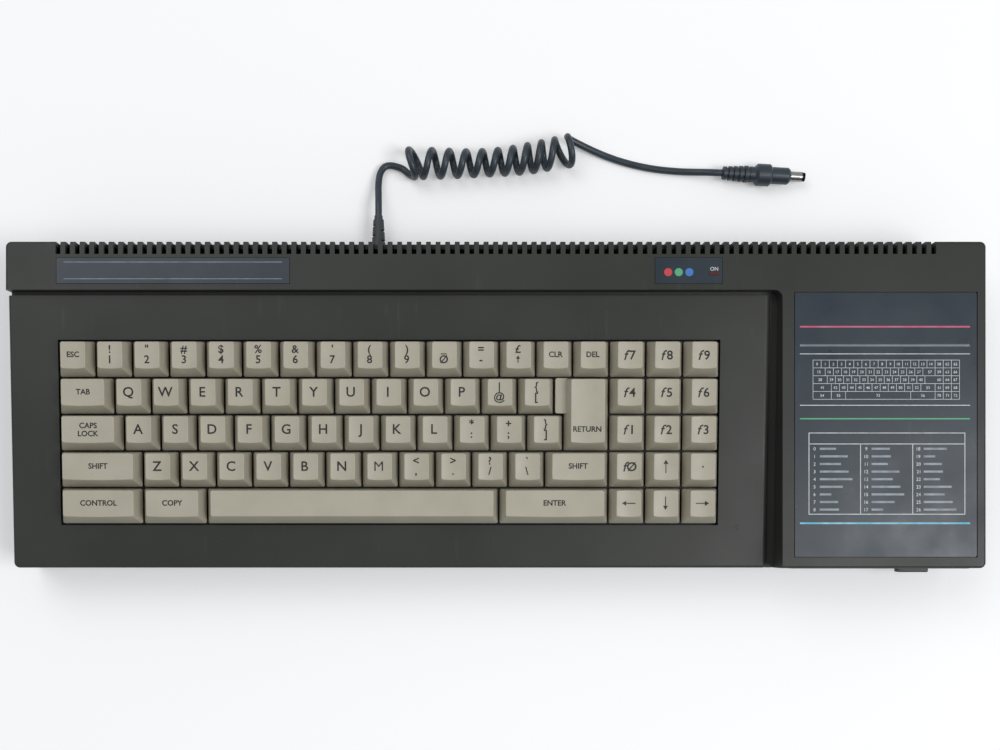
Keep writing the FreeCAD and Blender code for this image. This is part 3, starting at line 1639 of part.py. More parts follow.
def plug():
    """The barrel plug at the end of the lead: a ribbed grip, a collar and a metal contact."""
    ribs = int(number("grip_ribs"))
    pitch = f"grip_length / {ribs}"
    profile = [("0", "0")]
    for k in range(ribs):
        swell = f"grip_radius + (plug_radius - grip_radius) * {k / (ribs - 1)}"
        profile += [
            (swell, f"{k} * {pitch}"),
            (swell, f"({k} + 0.6) * {pitch}"),
            (f"{swell} - 0.7", f"({k} + 0.6) * {pitch}"),
            (f"{swell} - 0.7", f"({k} + 1) * {pitch}"),
        ]
    collar_end = "plug_collar_start + plug_collar_length"
    profile += [
        ("plug_radius - 0.3", "grip_length"),
        ("plug_radius - 0.3", "plug_collar_start - 0.8"),
        ("plug_collar - 0.8", "plug_collar_start"),
        ("plug_collar", "plug_collar_start + 0.8"),
        ("plug_collar", f"{collar_end} - 0.8"),
        ("plug_collar - 0.8", collar_end),
        ("plug_radius", collar_end),
        ("plug_radius", "plug_length - 1.2"),
        ("plug_radius - 1", "plug_length"),
        ("0", "plug_length"),
    ]
    contact = revolved("contact_turned", [
        ("barrel_bore", "plug_length"),
        ("barrel_radius", "plug_length"),
        ("barrel_radius", "plug_length + barrel_length"),
        ("barrel_radius - 0.35", "plug_length + barrel_length + 0.2"),
        ("barrel_radius - 0.35", "plug_length + barrel_length + barrel_tip"),
        ("barrel_bore", "plug_length + barrel_length + barrel_tip"),
    ])
    body = revolved("plug_turned", profile)
    base = Vector(*LEAD_TAIL[-1])
    lie = Placement(base, Rotation(Vector(0, 0, 1), PLUG_DIRECTION))
    for piece, label in ((body, "plug_body"), (contact, "plug_contact")):
        piece.Placement = lie
        labelled(piece, label)


def power_lead():
    strain_relief()
    lead_piece("lead_start", [Vector(*p) for p in LEAD_START])
    end, heading = lead_curls()
    lead_piece("lead_tail", [end] + [Vector(*p) for p in LEAD_TAIL])
    print("curls end", [round(c, 2) for c in end], [round(c, 3) for c in heading])
    plug()


def export():
    doc.recompute()
    for thing in doc.Objects:
        if any(word in thing.State for word in ("Invalid", "Error")):
            raise RuntimeError(f"{thing.Name} ({thing.Label}) is {thing.State}")
    os.makedirs("parts", exist_ok=True)
    for node in NODES:
        shape = node.Shape
        if shape.isNull() or not shape.isValid() or not shape.Solids:
            raise RuntimeError(f"{node.Label} has no valid solid")
        shape.exportStep(f"parts/{node.Label}.step")
    print(len(NODES), "nodes")


top_case()
bottom_case()
rubber_feet()
case_screws()
plates()
keys()
keyboard_frame()
main_board()
board_chips()
volume_wheel()
power_switch()
sockets()
joystick_port()
drive_chassis()
drive_bezel()
drive_flap()
eject_button()
spindle_flywheel()
drive_motor()
drive_belt()
head_carriage()
power_lead()
export()
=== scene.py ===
"""Home computer seen from straight above, with its curly power lead laid out behind it."""

import logging
import math
from dataclasses import dataclass, field
from enum import Enum

import bmesh
import bpy
from mathutils import Matrix, Vector


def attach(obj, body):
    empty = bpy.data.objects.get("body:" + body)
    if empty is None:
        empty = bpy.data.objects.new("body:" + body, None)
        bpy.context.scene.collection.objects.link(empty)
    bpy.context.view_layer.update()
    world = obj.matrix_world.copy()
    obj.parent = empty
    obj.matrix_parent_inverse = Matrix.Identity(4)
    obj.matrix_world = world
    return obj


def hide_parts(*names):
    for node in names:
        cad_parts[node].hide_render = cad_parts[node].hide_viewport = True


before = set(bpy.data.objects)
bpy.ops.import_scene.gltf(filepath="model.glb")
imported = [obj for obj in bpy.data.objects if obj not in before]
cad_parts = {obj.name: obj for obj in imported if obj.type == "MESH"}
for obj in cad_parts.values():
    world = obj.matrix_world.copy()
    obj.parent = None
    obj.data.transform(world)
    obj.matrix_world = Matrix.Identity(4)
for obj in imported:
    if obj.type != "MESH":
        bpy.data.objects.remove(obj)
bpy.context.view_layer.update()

MM = 0.001
DECK_SLOPE = 3.2  # degrees, of the deck and of the keys on it
TIP_BAND = (0.1720, 0.1722)  # metres along x, where the plug's dark tip begins
CAPITAL_SHARE = 0.73  # the height of a capital in the built-in font, over the font's size
log = logging.getLogger("home_computer")

Point = tuple[float, float, float]


class Tone(Enum):
    """The colours of the computer, as red, green and blue from 0 to 255."""

    CASE = (46, 48, 45)
    CASE_WORN = (62, 64, 61)
    CREAM = (176, 171, 155)
    CREAM_AGED = (164, 158, 140)
    INK = (22, 21, 20)
    FILM = (37, 48, 58)
    FILM_WORN = (50, 62, 72)
    PRINT_WHITE = (226, 231, 234)
    PRINT_GREY = (150, 160, 170)
    PINK = (196, 74, 112)
    GREEN = (70, 168, 116)
    CYAN = (78, 176, 206)
    RED = (196, 60, 54)
    BLUE = (62, 110, 190)
    LAMP = (84, 22, 26)
    BLACK = (24, 24, 24)
    BLACK_WORN = (44, 44, 43)
    SLATE = (45, 55, 64)
    SLATE_WORN = (61, 71, 80)
    RELIEF = (56, 59, 60)
    STEEL = (176, 176, 174)
    STEEL_DULL = (140, 140, 138)
    ZINC = (160, 162, 160)
    BOARD = (34, 98, 58)
    BOARD_PALE = (52, 122, 74)


def linear(tone: Tone) -> tuple[float, float, float, float]:
    """Turns a colour of the computer into Blender's linear values.

    Args:
        tone: The colour.

    Returns:
        Red, green, blue and alpha.
    """
    values = []
    for level in tone.value:
        share = level / 255
        values.append(share / 12.92 if share < 0.04045 else ((share + 0.055) / 1.055) ** 2.4)
    return (values[0], values[1], values[2], 1.0)


class Wear(Enum):
    """How the second colour of a finish is spread over it."""

    CLOUDY = "cloudy"
    SCUFFED = "scuffed"
    BRUSHED = "brushed"
    TIPPED = "tipped"


@dataclass(frozen=True)
class Finish:
    """One finish of the computer, made of shader nodes.

    Lengths are in millimetres: grain is the size of the moulded or drawn texture.
    """

    name: str
    tone: Tone
    second: Tone
    rough: float = 0.5
    grain: float = 0.5
    relief: float = 0.2
    patch: float = 40.0
    spread: float = 0.35
    metal: float = 0.0
    shine: float = 0.5
    coat: float = 0.0
    wear: Wear = Wear.CLOUDY

    def material(self) -> bpy.types.Material:
        """Builds the finish once and gives the same material afterwards.

        Returns:
            The material.
        """
        title = f"{self.name}_finish"
        found = bpy.data.materials.get(title)
        if found:
            return found
        made = bpy.data.materials.new(title)
        made.use_nodes = True
        tree = made.node_tree
        shader = next(node for node in tree.nodes if node.type == "BSDF_PRINCIPLED")
        place = tree.nodes.new("ShaderNodeTexCoord").outputs["Object"]
        colour = self._blend(tree, self._amount(tree, place))
        tree.links.new(colour, shader.inputs["Base Color"])
        tree.links.new(self._roughness(tree, place), shader.inputs["Roughness"])
        tree.links.new(self._bump(tree, place), shader.inputs["Normal"])
        shader.inputs["Metallic"].default_value = self.metal
        shader.inputs["Specular IOR Level"].default_value = self.shine
        shader.inputs["Coat Weight"].default_value = self.coat
        shader.inputs["Coat Roughness"].default_value = 0.25
        return made

    def _noise(self, tree: bpy.types.NodeTree, place: bpy.types.NodeSocket, size: float,
               detail: float = 3.0) -> bpy.types.NodeSocket:
        """Adds a noise pattern.

        Args:
            tree: The material's nodes.
            place: The coordinates that it reads.
            size: The size of its patches in millimetres.
            detail: How many finer layers it has.

        Returns:
            The socket with the pattern.
        """
        noise = tree.nodes.new("ShaderNodeTexNoise")
        noise.inputs["Scale"].default_value = 1 / (size * MM)
        noise.inputs["Detail"].default_value = detail
        tree.links.new(place, noise.inputs["Vector"])
        return noise.outputs["Fac"]

    def _ranged(self, tree: bpy.types.NodeTree, value: bpy.types.NodeSocket, low: float,
                high: float, bottom: float, top: float) -> bpy.types.NodeSocket:
        """Maps a value from one range to another, clamped.

        Args:
            tree: The material's nodes.
            value: The socket with the value.
            low: The value that becomes bottom.
            high: The value that becomes top.
            bottom: The lowest result.
            top: The highest result.

        Returns:
            The socket with the result.
        """
        ranged = tree.nodes.new("ShaderNodeMapRange")
        for socket, amount in zip(ranged.inputs[1:5], (low, high, bottom, top)):
            socket.default_value = amount
        tree.links.new(value, ranged.inputs[0])
        return ranged.outputs[0]

    def _stretched(self, tree: bpy.types.NodeTree, place: bpy.types.NodeSocket,
                   shares: Point, angle: float = 0.0) -> bpy.types.NodeSocket:
        """Stretches the coordinates, for scratches and drawn metal.

        Args:
            tree: The material's nodes.
            place: The coordinates.
            shares: The scale along each axis.
            angle: The turn about the vertical, in degrees.

        Returns:
            The stretched coordinates.
        """
        mapping = tree.nodes.new("ShaderNodeMapping")
        mapping.inputs["Scale"].default_value = shares
        mapping.inputs["Rotation"].default_value = (0, 0, math.radians(angle))
        tree.links.new(place, mapping.inputs["Vector"])
        return mapping.outputs["Vector"]

    def _amount(self, tree: bpy.types.NodeTree,
                place: bpy.types.NodeSocket) -> bpy.types.NodeSocket:
        """Chooses where the second colour shows.

        Args:
            tree: The material's nodes.
            place: The coordinates.

        Returns:
            The share of the second colour.
        """
        if self.wear is Wear.TIPPED:
            parts = tree.nodes.new("ShaderNodeSeparateXYZ")
            tree.links.new(place, parts.inputs[0])
            return self._ranged(tree, parts.outputs["X"], *TIP_BAND, 0.0, 1.0)
        if self.wear is Wear.BRUSHED:
            drawn = self._stretched(tree, place, (1.0, 0.04, 1.0))
            return self._ranged(tree, self._noise(tree, drawn, 0.4), 0.3, 0.7, 0.0, 1.0)
        clouds = self._ranged(tree, self._noise(tree, place, self.patch), 0.35, 0.75,
                              0.0, self.spread)
        if self.wear is Wear.CLOUDY:
            return clouds
        scratched = self._stretched(tree, place, (1.0, 0.12, 1.0), 34.0)
        lines = self._ranged(tree, self._noise(tree, scratched, 5.0, 6.0), 0.66, 0.74, 0.0, 0.5)
        dust = self._ranged(tree, self._noise(tree, place, 1.6, 4.0), 0.70, 0.76, 0.0, 0.6)
        worn = self._added(tree, clouds, lines)
        return self._added(tree, worn, dust)

    def _added(self, tree: bpy.types.NodeTree, one: bpy.types.NodeSocket,
               other: bpy.types.NodeSocket) -> bpy.types.NodeSocket:
        """Adds two shares, clamped to one.

        Args:
            tree: The material's nodes.
            one: The first share.
            other: The second share.

        Returns:
            The sum.
        """
        total = tree.nodes.new("ShaderNodeMath")
        total.operation = "ADD"
        total.use_clamp = True
        tree.links.new(one, total.inputs[0])
        tree.links.new(other, total.inputs[1])
        return total.outputs[0]

    def _blend(self, tree: bpy.types.NodeTree,
               amount: bpy.types.NodeSocket) -> bpy.types.NodeSocket:
        """Blends the two colours.

        Args:
            tree: The material's nodes.
            amount: The share of the second colour.

        Returns:
            The colour.
        """
        mix = tree.nodes.new("ShaderNodeMix")
        mix.data_type = "RGBA"
        mix.inputs[6].default_value = linear(self.tone)
        mix.inputs[7].default_value = linear(self.second)
        tree.links.new(amount, mix.inputs[0])
        return mix.outputs[2]

    def _roughness(self, tree: bpy.types.NodeTree,
                   place: bpy.types.NodeSocket) -> bpy.types.NodeSocket:
        """Varies the gloss from place to place, as handling does.

        Args:
            tree: The material's nodes.
            place: The coordinates.

        Returns:
            The roughness.
        """
        noise = self._noise(tree, place, self.patch * 0.6)
        return self._ranged(tree, noise, 0.3, 0.7, self.rough - 0.06, self.rough + 0.06)

    def _bump(self, tree: bpy.types.NodeTree,
              place: bpy.types.NodeSocket) -> bpy.types.NodeSocket:
        """Adds the fine texture of the mould, or the lines of drawn metal.

        Args:
            tree: The material's nodes.
            place: The coordinates.

        Returns:
            The normal.
        """
        if self.wear is Wear.BRUSHED:
            place = self._stretched(tree, place, (1.0, 0.03, 1.0))
        bump = tree.nodes.new("ShaderNodeBump")
        bump.inputs["Strength"].default_value = self.relief
        bump.inputs["Distance"].default_value = 0.05 * MM
        tree.links.new(self._noise(tree, place, self.grain, 2.0), bump.inputs["Height"])
        return bump.outputs["Normal"]


CASE_PLASTIC = Finish("case_plastic", Tone.CASE, Tone.CASE_WORN, 0.4, 0.45, 0.35, 60, 0.35,
                      shine=0.32, wear=Wear.SCUFFED)
KEY_PLASTIC = Finish("key_cream", Tone.CREAM, Tone.CREAM_AGED, 0.45, 0.35, 0.18, 14, 0.55)
KEY_INK = Finish("key_ink", Tone.INK, Tone.BLACK_WORN, 0.5, 0.3, 0.1, 3, 0.4)
FILM = Finish("panel_film", Tone.FILM, Tone.FILM_WORN, 0.32, 0.3, 0.06, 30, 0.45,
              shine=0.42, wear=Wear.SCUFFED)
PRINT_WHITE = Finish("print_white", Tone.PRINT_WHITE, Tone.PRINT_GREY, 0.45, 0.2, 0.05, 4, 0.6)
PRINT_GREY = Finish("print_grey", Tone.PRINT_GREY, Tone.FILM_WORN, 0.45, 0.2, 0.05, 4, 0.5)
PRINT_PINK = Finish("print_pink", Tone.PINK, Tone.PRINT_GREY, 0.45, 0.2, 0.05, 6, 0.3)
PRINT_GREEN = Finish("print_green", Tone.GREEN, Tone.PRINT_GREY, 0.45, 0.2, 0.05, 6, 0.3)
PRINT_CYAN = Finish("print_cyan", Tone.CYAN, Tone.PRINT_WHITE, 0.45, 0.2, 0.05, 6, 0.4)
PRINT_RED = Finish("print_red", Tone.RED, Tone.PINK, 0.45, 0.2, 0.05, 4, 0.3)
PRINT_BLUE = Finish("print_blue", Tone.BLUE, Tone.CYAN, 0.45, 0.2, 0.05, 4, 0.3)
LAMP = Finish("lamp_red", Tone.LAMP, Tone.BLACK, 0.12, 0.8, 0.05, 3, 0.4, coat=0.6)
BEZEL = Finish("bezel_black", Tone.BLACK, Tone.BLACK_WORN, 0.4, 0.35, 0.3, 20, 0.5,
               wear=Wear.SCUFFED)
RUBBER = Finish("rubber_black", Tone.BLACK, Tone.BLACK_WORN, 0.7, 0.4, 0.4, 6, 0.6)
LEAD_RUBBER = Finish("lead_slate", Tone.SLATE, Tone.SLATE_WORN, 0.36, 0.5, 0.12, 9, 0.5)
RELIEF_RUBBER = Finish("relief_rubber", Tone.RELIEF, Tone.SLATE_WORN, 0.5, 0.4, 0.25, 6, 0.5)
CONTACT = Finish("contact_metal", Tone.STEEL, Tone.BLACK, 0.25, 0.3, 0.08, 3, 0.3, metal=0.9,
                 wear=Wear.TIPPED)
SCREW_STEEL = Finish("screw_steel", Tone.STEEL_DULL, Tone.STEEL, 0.35, 0.3, 0.2, 4, 0.6,
                     metal=1.0)
SHEET_STEEL = Finish("sheet_steel", Tone.ZINC, Tone.STEEL, 0.4, 0.5, 0.2, 8, 0.6, metal=0.8,
                     wear=Wear.BRUSHED)
TURNED_ALLOY = Finish("turned_alloy", Tone.STEEL, Tone.ZINC, 0.3, 0.3, 0.2, 5, 0.6, metal=1.0,
                      wear=Wear.BRUSHED)
BOARD = Finish("board_green", Tone.BOARD, Tone.BOARD_PALE, 0.35, 0.6, 0.25, 5, 0.7, coat=0.3)
CHIP = Finish("chip_black", Tone.BLACK, Tone.BLACK_WORN, 0.55, 0.3, 0.3, 4, 0.5)
SOCKET = Finish("socket_black", Tone.BLACK, Tone.BLACK_WORN, 0.35, 0.3, 0.2, 5, 0.5)


def dress(node: str, finish: Finish) -> None:
    """Gives a carried-over piece its finish.

    Args:
        node: The piece's name.
        finish: Its finish.
    """
    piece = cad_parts[node]
    if not piece.material_slots:
        piece.data.materials.append(None)
    for holder in piece.material_slots:
        holder.material = finish.material()
    log.info("%s has %s", node, finish.name)


def mesh_piece(name: str, faces: list[list[Point]], finish: Finish,
               body: str) -> bpy.types.Object:
    """Makes a piece from loose faces whose corners are in millimetres.

    Args:
        name: The piece's name.
        faces: The corners of each face, counter-clockwise from outside.
        finish: Its finish.
        body: The body that it rides on.

    Returns:
        The piece.
    """
    mesh = bpy.data.meshes.new(name)
    shape = bmesh.new()
    for corners in faces:
        shape.faces.new([shape.verts.new(Vector(corner) * MM) for corner in corners])
    bmesh.ops.remove_doubles(shape, verts=shape.verts, dist=0.002 * MM)
    shape.to_mesh(mesh)
    shape.free()
    return placed(name, mesh, finish, body)


def placed(name: str, mesh: bpy.types.Mesh, finish: Finish, body: str) -> bpy.types.Object:
    """Puts a finished mesh into the scene on its body.

    Args:
        name: The piece's name.
        mesh: Its mesh, in metres in the computer's frame.
        finish: Its finish.
        body: The body that it rides on.

    Returns:
        The piece.
    """
    mesh.materials.clear()
    mesh.materials.append(finish.material())
    piece = bpy.data.objects.new(name, mesh)
    bpy.context.scene.collection.objects.link(piece)
    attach(piece, body)
    log.info("%s is on %s", name, body)
    return piece


def flat_bar(x: tuple[float, float], y: tuple[float, float], z: float) -> list[Point]:
    """A level rectangle that faces up.

    Args:
        x: Its left and right edges in millimetres.
        y: Its front and back edges.
        z: Its height.

    Returns:
        Its corners.
    """
    return [(x[0], y[0], z), (x[1], y[0], z), (x[1], y[1], z), (x[0], y[1], z)]


def lettering(text: str, height: float, weight: float = 0.0) -> bpy.types.Mesh:
    """Flat lettering, centred on the origin, in millimetres.

    Args:
        text: The letters.
        height: The height of a capital letter.
        weight: How much the strokes are thickened, in millimetres.

    Returns:
        Its mesh.
    """
    curve = bpy.data.curves.new("lettering", "FONT")
    curve.body = text
    curve.size = height / CAPITAL_SHARE
    curve.resolution_u = 3
    curve.offset = weight
    holder = bpy.data.objects.new("lettering", curve)
    mesh = bpy.data.meshes.new_from_object(holder)
    bpy.data.objects.remove(holder)
    bpy.data.curves.remove(curve)
    xs = [v.co.x for v in mesh.vertices] or [0.0]
    shift = Vector(((min(xs) + max(xs)) / 2, height / 2, 0))
    for vertex in mesh.vertices:
        vertex.co -= shift
    return mesh


@dataclass
class CopyGrid:
    """Equal flat bars in rows and columns, made by geometry nodes. Lengths are in millimetres."""

    columns: int
    rows: int
    pitch_x: float
    pitch_y: float
    width: float
    depth: float

    def mesh(self, corner: Point, finish: Finish) -> bpy.types.Mesh:
        """Makes the bars.

        Args:
            corner: The middle of the first bar, at the front left.
            finish: The finish of the bars.

        Returns:
            One plain mesh, in metres in the computer's frame.
        """
        tree = bpy.data.node_groups.new("copy_grid", "GeometryNodeTree")
        sockets = {}
        for name, kind in (("Columns", "Int"), ("Rows", "Int"), ("Pitch X", "Float"),
                           ("Pitch Y", "Float"), ("Width", "Float"), ("Depth", "Float"),
                           ("Corner", "Vector")):
            made = tree.interface.new_socket(name, in_out="INPUT",
                                             socket_type=f"NodeSocket{kind}")
            sockets[name] = made.identifier
        tree.interface.new_socket("Geometry", in_out="OUTPUT", socket_type="NodeSocketGeometry")
        source = tree.nodes.new("NodeGroupInput")
        target = tree.nodes.new("NodeGroupOutput")

        def row(count: str, pitch: str, axis: str) -> bpy.types.Node:
            """Adds a line of points along one axis.

            Args:
                count: The input with the number of points.
                pitch: The input with their distance.
                axis: The axis, X or Y.

            Returns:
                The node with the line.
            """
            offset = tree.nodes.new("ShaderNodeCombineXYZ")
            tree.links.new(source.outputs[pitch], offset.inputs[axis])
            line = tree.nodes.new("GeometryNodeMeshLine")
            tree.links.new(source.outputs[count], line.inputs["Count"])
            tree.links.new(offset.outputs[0], line.inputs["Offset"])
            return line

        def copies(points: bpy.types.Node, shape: bpy.types.NodeSocket) -> bpy.types.Node:
            """Adds copies of a shape on the points.

            Args:
                points: The node with the points.
                shape: The socket with the shape.

            Returns:
                The node with the copies.
            """
            node = tree.nodes.new("GeometryNodeInstanceOnPoints")
            tree.links.new(points.outputs[0], node.inputs["Points"])
            tree.links.new(shape, node.inputs["Instance"])
            return node

        bar = tree.nodes.new("GeometryNodeMeshGrid")
        tree.links.new(source.outputs["Width"], bar.inputs["Size X"])
        tree.links.new(source.outputs["Depth"], bar.inputs["Size Y"])
        bar.inputs["Vertices X"].default_value = 2
        bar.inputs["Vertices Y"].default_value = 2
        across = copies(row("Columns", "Pitch X", "X"), bar.outputs["Mesh"])
        field_of = copies(row("Rows", "Pitch Y", "Y"), across.outputs[0])
        moved = tree.nodes.new("GeometryNodeTransform")
        real = tree.nodes.new("GeometryNodeRealizeInstances")
        paint = tree.nodes.new("GeometryNodeSetMaterial")
        paint.inputs["Material"].default_value = finish.material()
        tree.links.new(field_of.outputs[0], real.inputs[0])
        tree.links.new(real.outputs[0], moved.inputs["Geometry"])
        tree.links.new(source.outputs["Corner"], moved.inputs["Translation"])
        tree.links.new(moved.outputs[0], paint.inputs["Geometry"])
        tree.links.new(paint.outputs[0], target.inputs[0])

        holder = bpy.data.objects.new("grid_holder", bpy.data.meshes.new("grid_holder"))
        bpy.context.scene.collection.objects.link(holder)
        modifier = holder.modifiers.new("bars", "NODES")
        modifier.node_group = tree
        amounts = {"Columns": self.columns, "Rows": self.rows, "Pitch X": self.pitch_x * MM,
                   "Pitch Y": self.pitch_y * MM, "Width": self.width * MM,
                   "Depth": self.depth * MM, "Corner": [value * MM for value in corner]}
        for name, amount in amounts.items():
            modifier[sockets[name]] = amount
        graph = bpy.context.evaluated_depsgraph_get()
        mesh = bpy.data.meshes.new_from_object(holder.evaluated_get(graph))
        bpy.data.objects.remove(holder)
        return mesh


@dataclass
class Casing:
    """The two shells, their feet and screws, and the mark by the keys, in millimetres.

    The mark is two discs, each with its radius, depth and lift.
    """

    mark_place: Point = (128.9, -63.7, 36.78)
    mark_discs: tuple[Point, Point] = ((1.4, 0.5, -0.15), (0.9, 0.6, -0.12))
    mark_chamfer: float = 0.15

    def build(self) -> None:
        """Dresses the shells and adds the mark."""
        for node in ("top_case", "bottom_case"):
            dress(node, CASE_PLASTIC)
        dress("rubber_feet", RUBBER)
        dress("case_screws", SCREW_STEEL)
        dress("indicator_lamps", LAMP)
        self.deck_mark()

    def deck_mark(self) -> None:
        """The small round plug of the mould at the front of the deck."""
        shape = bmesh.new()
        x, y, z = self.mark_place
        turn = Matrix.Rotation(math.radians(DECK_SLOPE), 4, "X")
        place = Matrix.Translation(Vector((x, y, z)) * MM) @ turn
        for radius, depth, lift in self.mark_discs:
            bmesh.ops.create_cone(
                shape, cap_ends=True, segments=40, radius1=radius * MM,
                radius2=(radius - self.mark_chamfer) * MM, depth=depth * MM,
                matrix=place @ Matrix.Translation((0, 0, lift * MM)),
            )
        mesh = bpy.data.meshes.new("deck_mark")
        shape.to_mesh(mesh)
        shape.free()
        placed("deck_mark", mesh, CASE_PLASTIC, "case")


@dataclass
class KeyTop:
    """One key: its row, its left edge and width in key units, and what is printed on it."""

    node: str
    row: int
    unit: float
    wide: float
    upper: str = ""
    lower: str = ""

    def mark(self) -> str:
        """The digit of a function key, whose zero is crossed through."""
        return "Ø" if self.lower == "0" else self.lower


LETTERS_UPPER = ("!", '"', "#", "$", "%", "&", "'", "(", ")", "_", "=", "£")
LETTERS_LOWER = ("1", "2", "3", "4", "5", "6", "7", "8", "9", "Ø", "-", "up")


@dataclass
class Keyboard:
    """The keys' print, and the finish of the caps and of what carries them.

    Lengths are in millimetres. A key's own place counts from its skirt's back left corner.
    """

    pitch: float = 19.25
    gap: float = 0.95
    field_left: float = -228.4
    field_back: float = -24.0
    deck_back: float = 57.7
    deck_height: float = 43.5
    slope: float = DECK_SLOPE
    skirt: float = -0.5
    height: float = 9.0
    dish: float = 0.9
    side_inset: float = 2.8
    top_shift: float = 1.55
    half_stroke: float = 0.24
    letter: float = 5.2
    digit: float = 4.2
    word: float = 2.9
    weight: float = 0.1
    lift: float = 0.05
    letters: dict[str, list[list[Point]]] = field(default_factory=dict)

    def keys(self) -> list[KeyTop]:
        """Lists every key that carries print.

        Returns:
            The keys.
        """
        listed = [KeyTop("escape_key", 0, 0, 1, "", "ESC")]
        for k, (upper, lower) in enumerate(zip(LETTERS_UPPER, LETTERS_LOWER)):
            listed.append(KeyTop(f"key_column_{k + 1:02d}", 0, 1 + k, 1, upper, lower))
        listed.append(KeyTop("clear_delete_keys", 0, 13, 1, "", "CLR"))
        listed.append(KeyTop("clear_delete_keys", 0, 14, 1, "", "DEL"))
        listed.append(KeyTop("tab_key", 1, 0, 1.5, "", "TAB"))
        for k, mark in enumerate(("Q", "W", "E", "R", "T", "Y", "U", "I", "O", "P", "|@", "{[")):
            pair = ("", mark) if len(mark) == 1 else (mark[0], mark[1])
            listed.append(KeyTop(f"key_column_{k + 1:02d}", 1, 1.5 + k, 1, *pair))
        listed.append(KeyTop("caps_lock_key", 2, 0, 1.75, "CAPS", "LOCK"))
        for k, mark in enumerate(("A", "S", "D", "F", "G", "H", "J", "K", "L", "*:", "+;", "}]")):
            pair = ("", mark) if len(mark) == 1 else (mark[0], mark[1])
            listed.append(KeyTop(f"key_column_{k + 1:02d}", 2, 1.75 + k, 1, *pair))
        listed.append(KeyTop("shift_left_key", 3, 0, 2.25, "", "SHIFT"))
        for k, mark in enumerate(("Z", "X", "C", "V", "B", "N", "M", "<,", ">.", "?/", "`\\")):
            pair = ("", mark) if len(mark) == 1 else (mark[0], mark[1])
            listed.append(KeyTop(f"key_column_{k + 1:02d}", 3, 2.25 + k, 1, *pair))
        listed.append(KeyTop("shift_right_key", 3, 13.25, 1.75, "", "SHIFT"))
        listed.append(KeyTop("control_key", 4, 0, 2.25, "", "CONTROL"))
        listed.append(KeyTop("copy_key", 4, 2.25, 1.75, "", "COPY"))
        listed.append(KeyTop("enter_key", 4, 12, 3, "", "ENTER"))
        listed.append(KeyTop("return_key", 1, 13.75, 1.25, "", "RETURN"))
        columns = (("left", "7410"), ("middle", "852"), ("right", "963"))
        for k, (side, digits) in enumerate(columns):
            for row, digit in enumerate(digits):
                listed.append(KeyTop(f"function_keys_{side}", row, 15 + k, 1, "f", digit))
        listed.append(KeyTop("function_keys_right", 3, 17, 1, "", "dot"))
        listed.append(KeyTop("cursor_keys", 3, 16, 1, "", "arrow_up"))
        for unit, way in ((15, "left"), (16, "down"), (17, "right")):
            listed.append(KeyTop("cursor_keys", 4, unit, 1, "", f"arrow_{way}"))
        return listed

    def on_top(self, key: KeyTop, x: float, y: float) -> Point:
        """Finds the place of a point of a key's print, just over its dished top.

        Args:
            key: The key.
            x: The distance to the right of its skirt's left edge.
            y: The distance in front of its skirt's back edge, negative.

        Returns:
            The point in the computer's frame.
        """
        width = key.wide * self.pitch - self.gap
        half = width / 2 - self.side_inset
        radius = half * half / (2 * self.dish) + self.dish / 2
        across = min(abs(x - width / 2), half)
        top = self.height - self.dish + radius - math.sqrt(radius**2 - across**2)
        deck_y = self.field_back - key.row * self.pitch + y
        deck_z = self.skirt + top + self.lift
        turn = math.radians(self.slope)
        return (
            self.field_left + key.unit * self.pitch + x,
            self.deck_back + deck_y * math.cos(turn) - deck_z * math.sin(turn),
            self.deck_height + deck_y * math.sin(turn) + deck_z * math.cos(turn),
        )

    def stamp(self, key: KeyTop, mesh: bpy.types.Mesh, x: float, y: float,
              slant: float = 0.0) -> None:
        """Lays flat lettering on a key's dished top.

        Args:
            key: The key.
            mesh: The lettering, centred on the origin.
            x: Its middle, to the right of the top's middle.
            y: Its middle, behind the top's middle.
            slant: How far the lettering leans.
        """
        width = key.wide * self.pitch - self.gap
        tall = self.pitch if key.node == "return_key" else 0
        middle = (width / 2 + x,
                  -(self.pitch - self.gap) / 2 + self.top_shift + y - tall / 2)
        for face in mesh.polygons:
            corners = []
            for index in face.vertices:
                spot = mesh.vertices[index].co
                corners.append(self.on_top(key, middle[0] + spot.x + slant * spot.y,
                                           middle[1] + spot.y))
            self.letters.setdefault(key.node, []).append(corners)
        bpy.data.meshes.remove(mesh)

    def arrow(self, angle: float, length: float, head: float) -> bpy.types.Mesh:
        """Draws an arrow, centred on the origin.

        Args:
            angle: The way it points, in degrees from the right.
            length: Its length.
            head: The width of its head.

        Returns:
            Its mesh.
        """
        half = length / 2
        stroke = self.half_stroke
        shape = bmesh.new()
        neck = half - head * 0.85
        bars = [[(-half, -stroke), (neck, -stroke), (neck, stroke), (-half, stroke)],
                [(neck, -head / 2), (half, 0), (neck, head / 2)]]
        for outline in bars:
            shape.faces.new([shape.verts.new((x, y, 0)) for x, y in outline])
        bmesh.ops.rotate(shape, verts=shape.verts, cent=(0, 0, 0),
                         matrix=Matrix.Rotation(math.radians(angle), 3, "Z"))
        mesh = bpy.data.meshes.new("arrow")
        shape.to_mesh(mesh)
        shape.free()
        return mesh

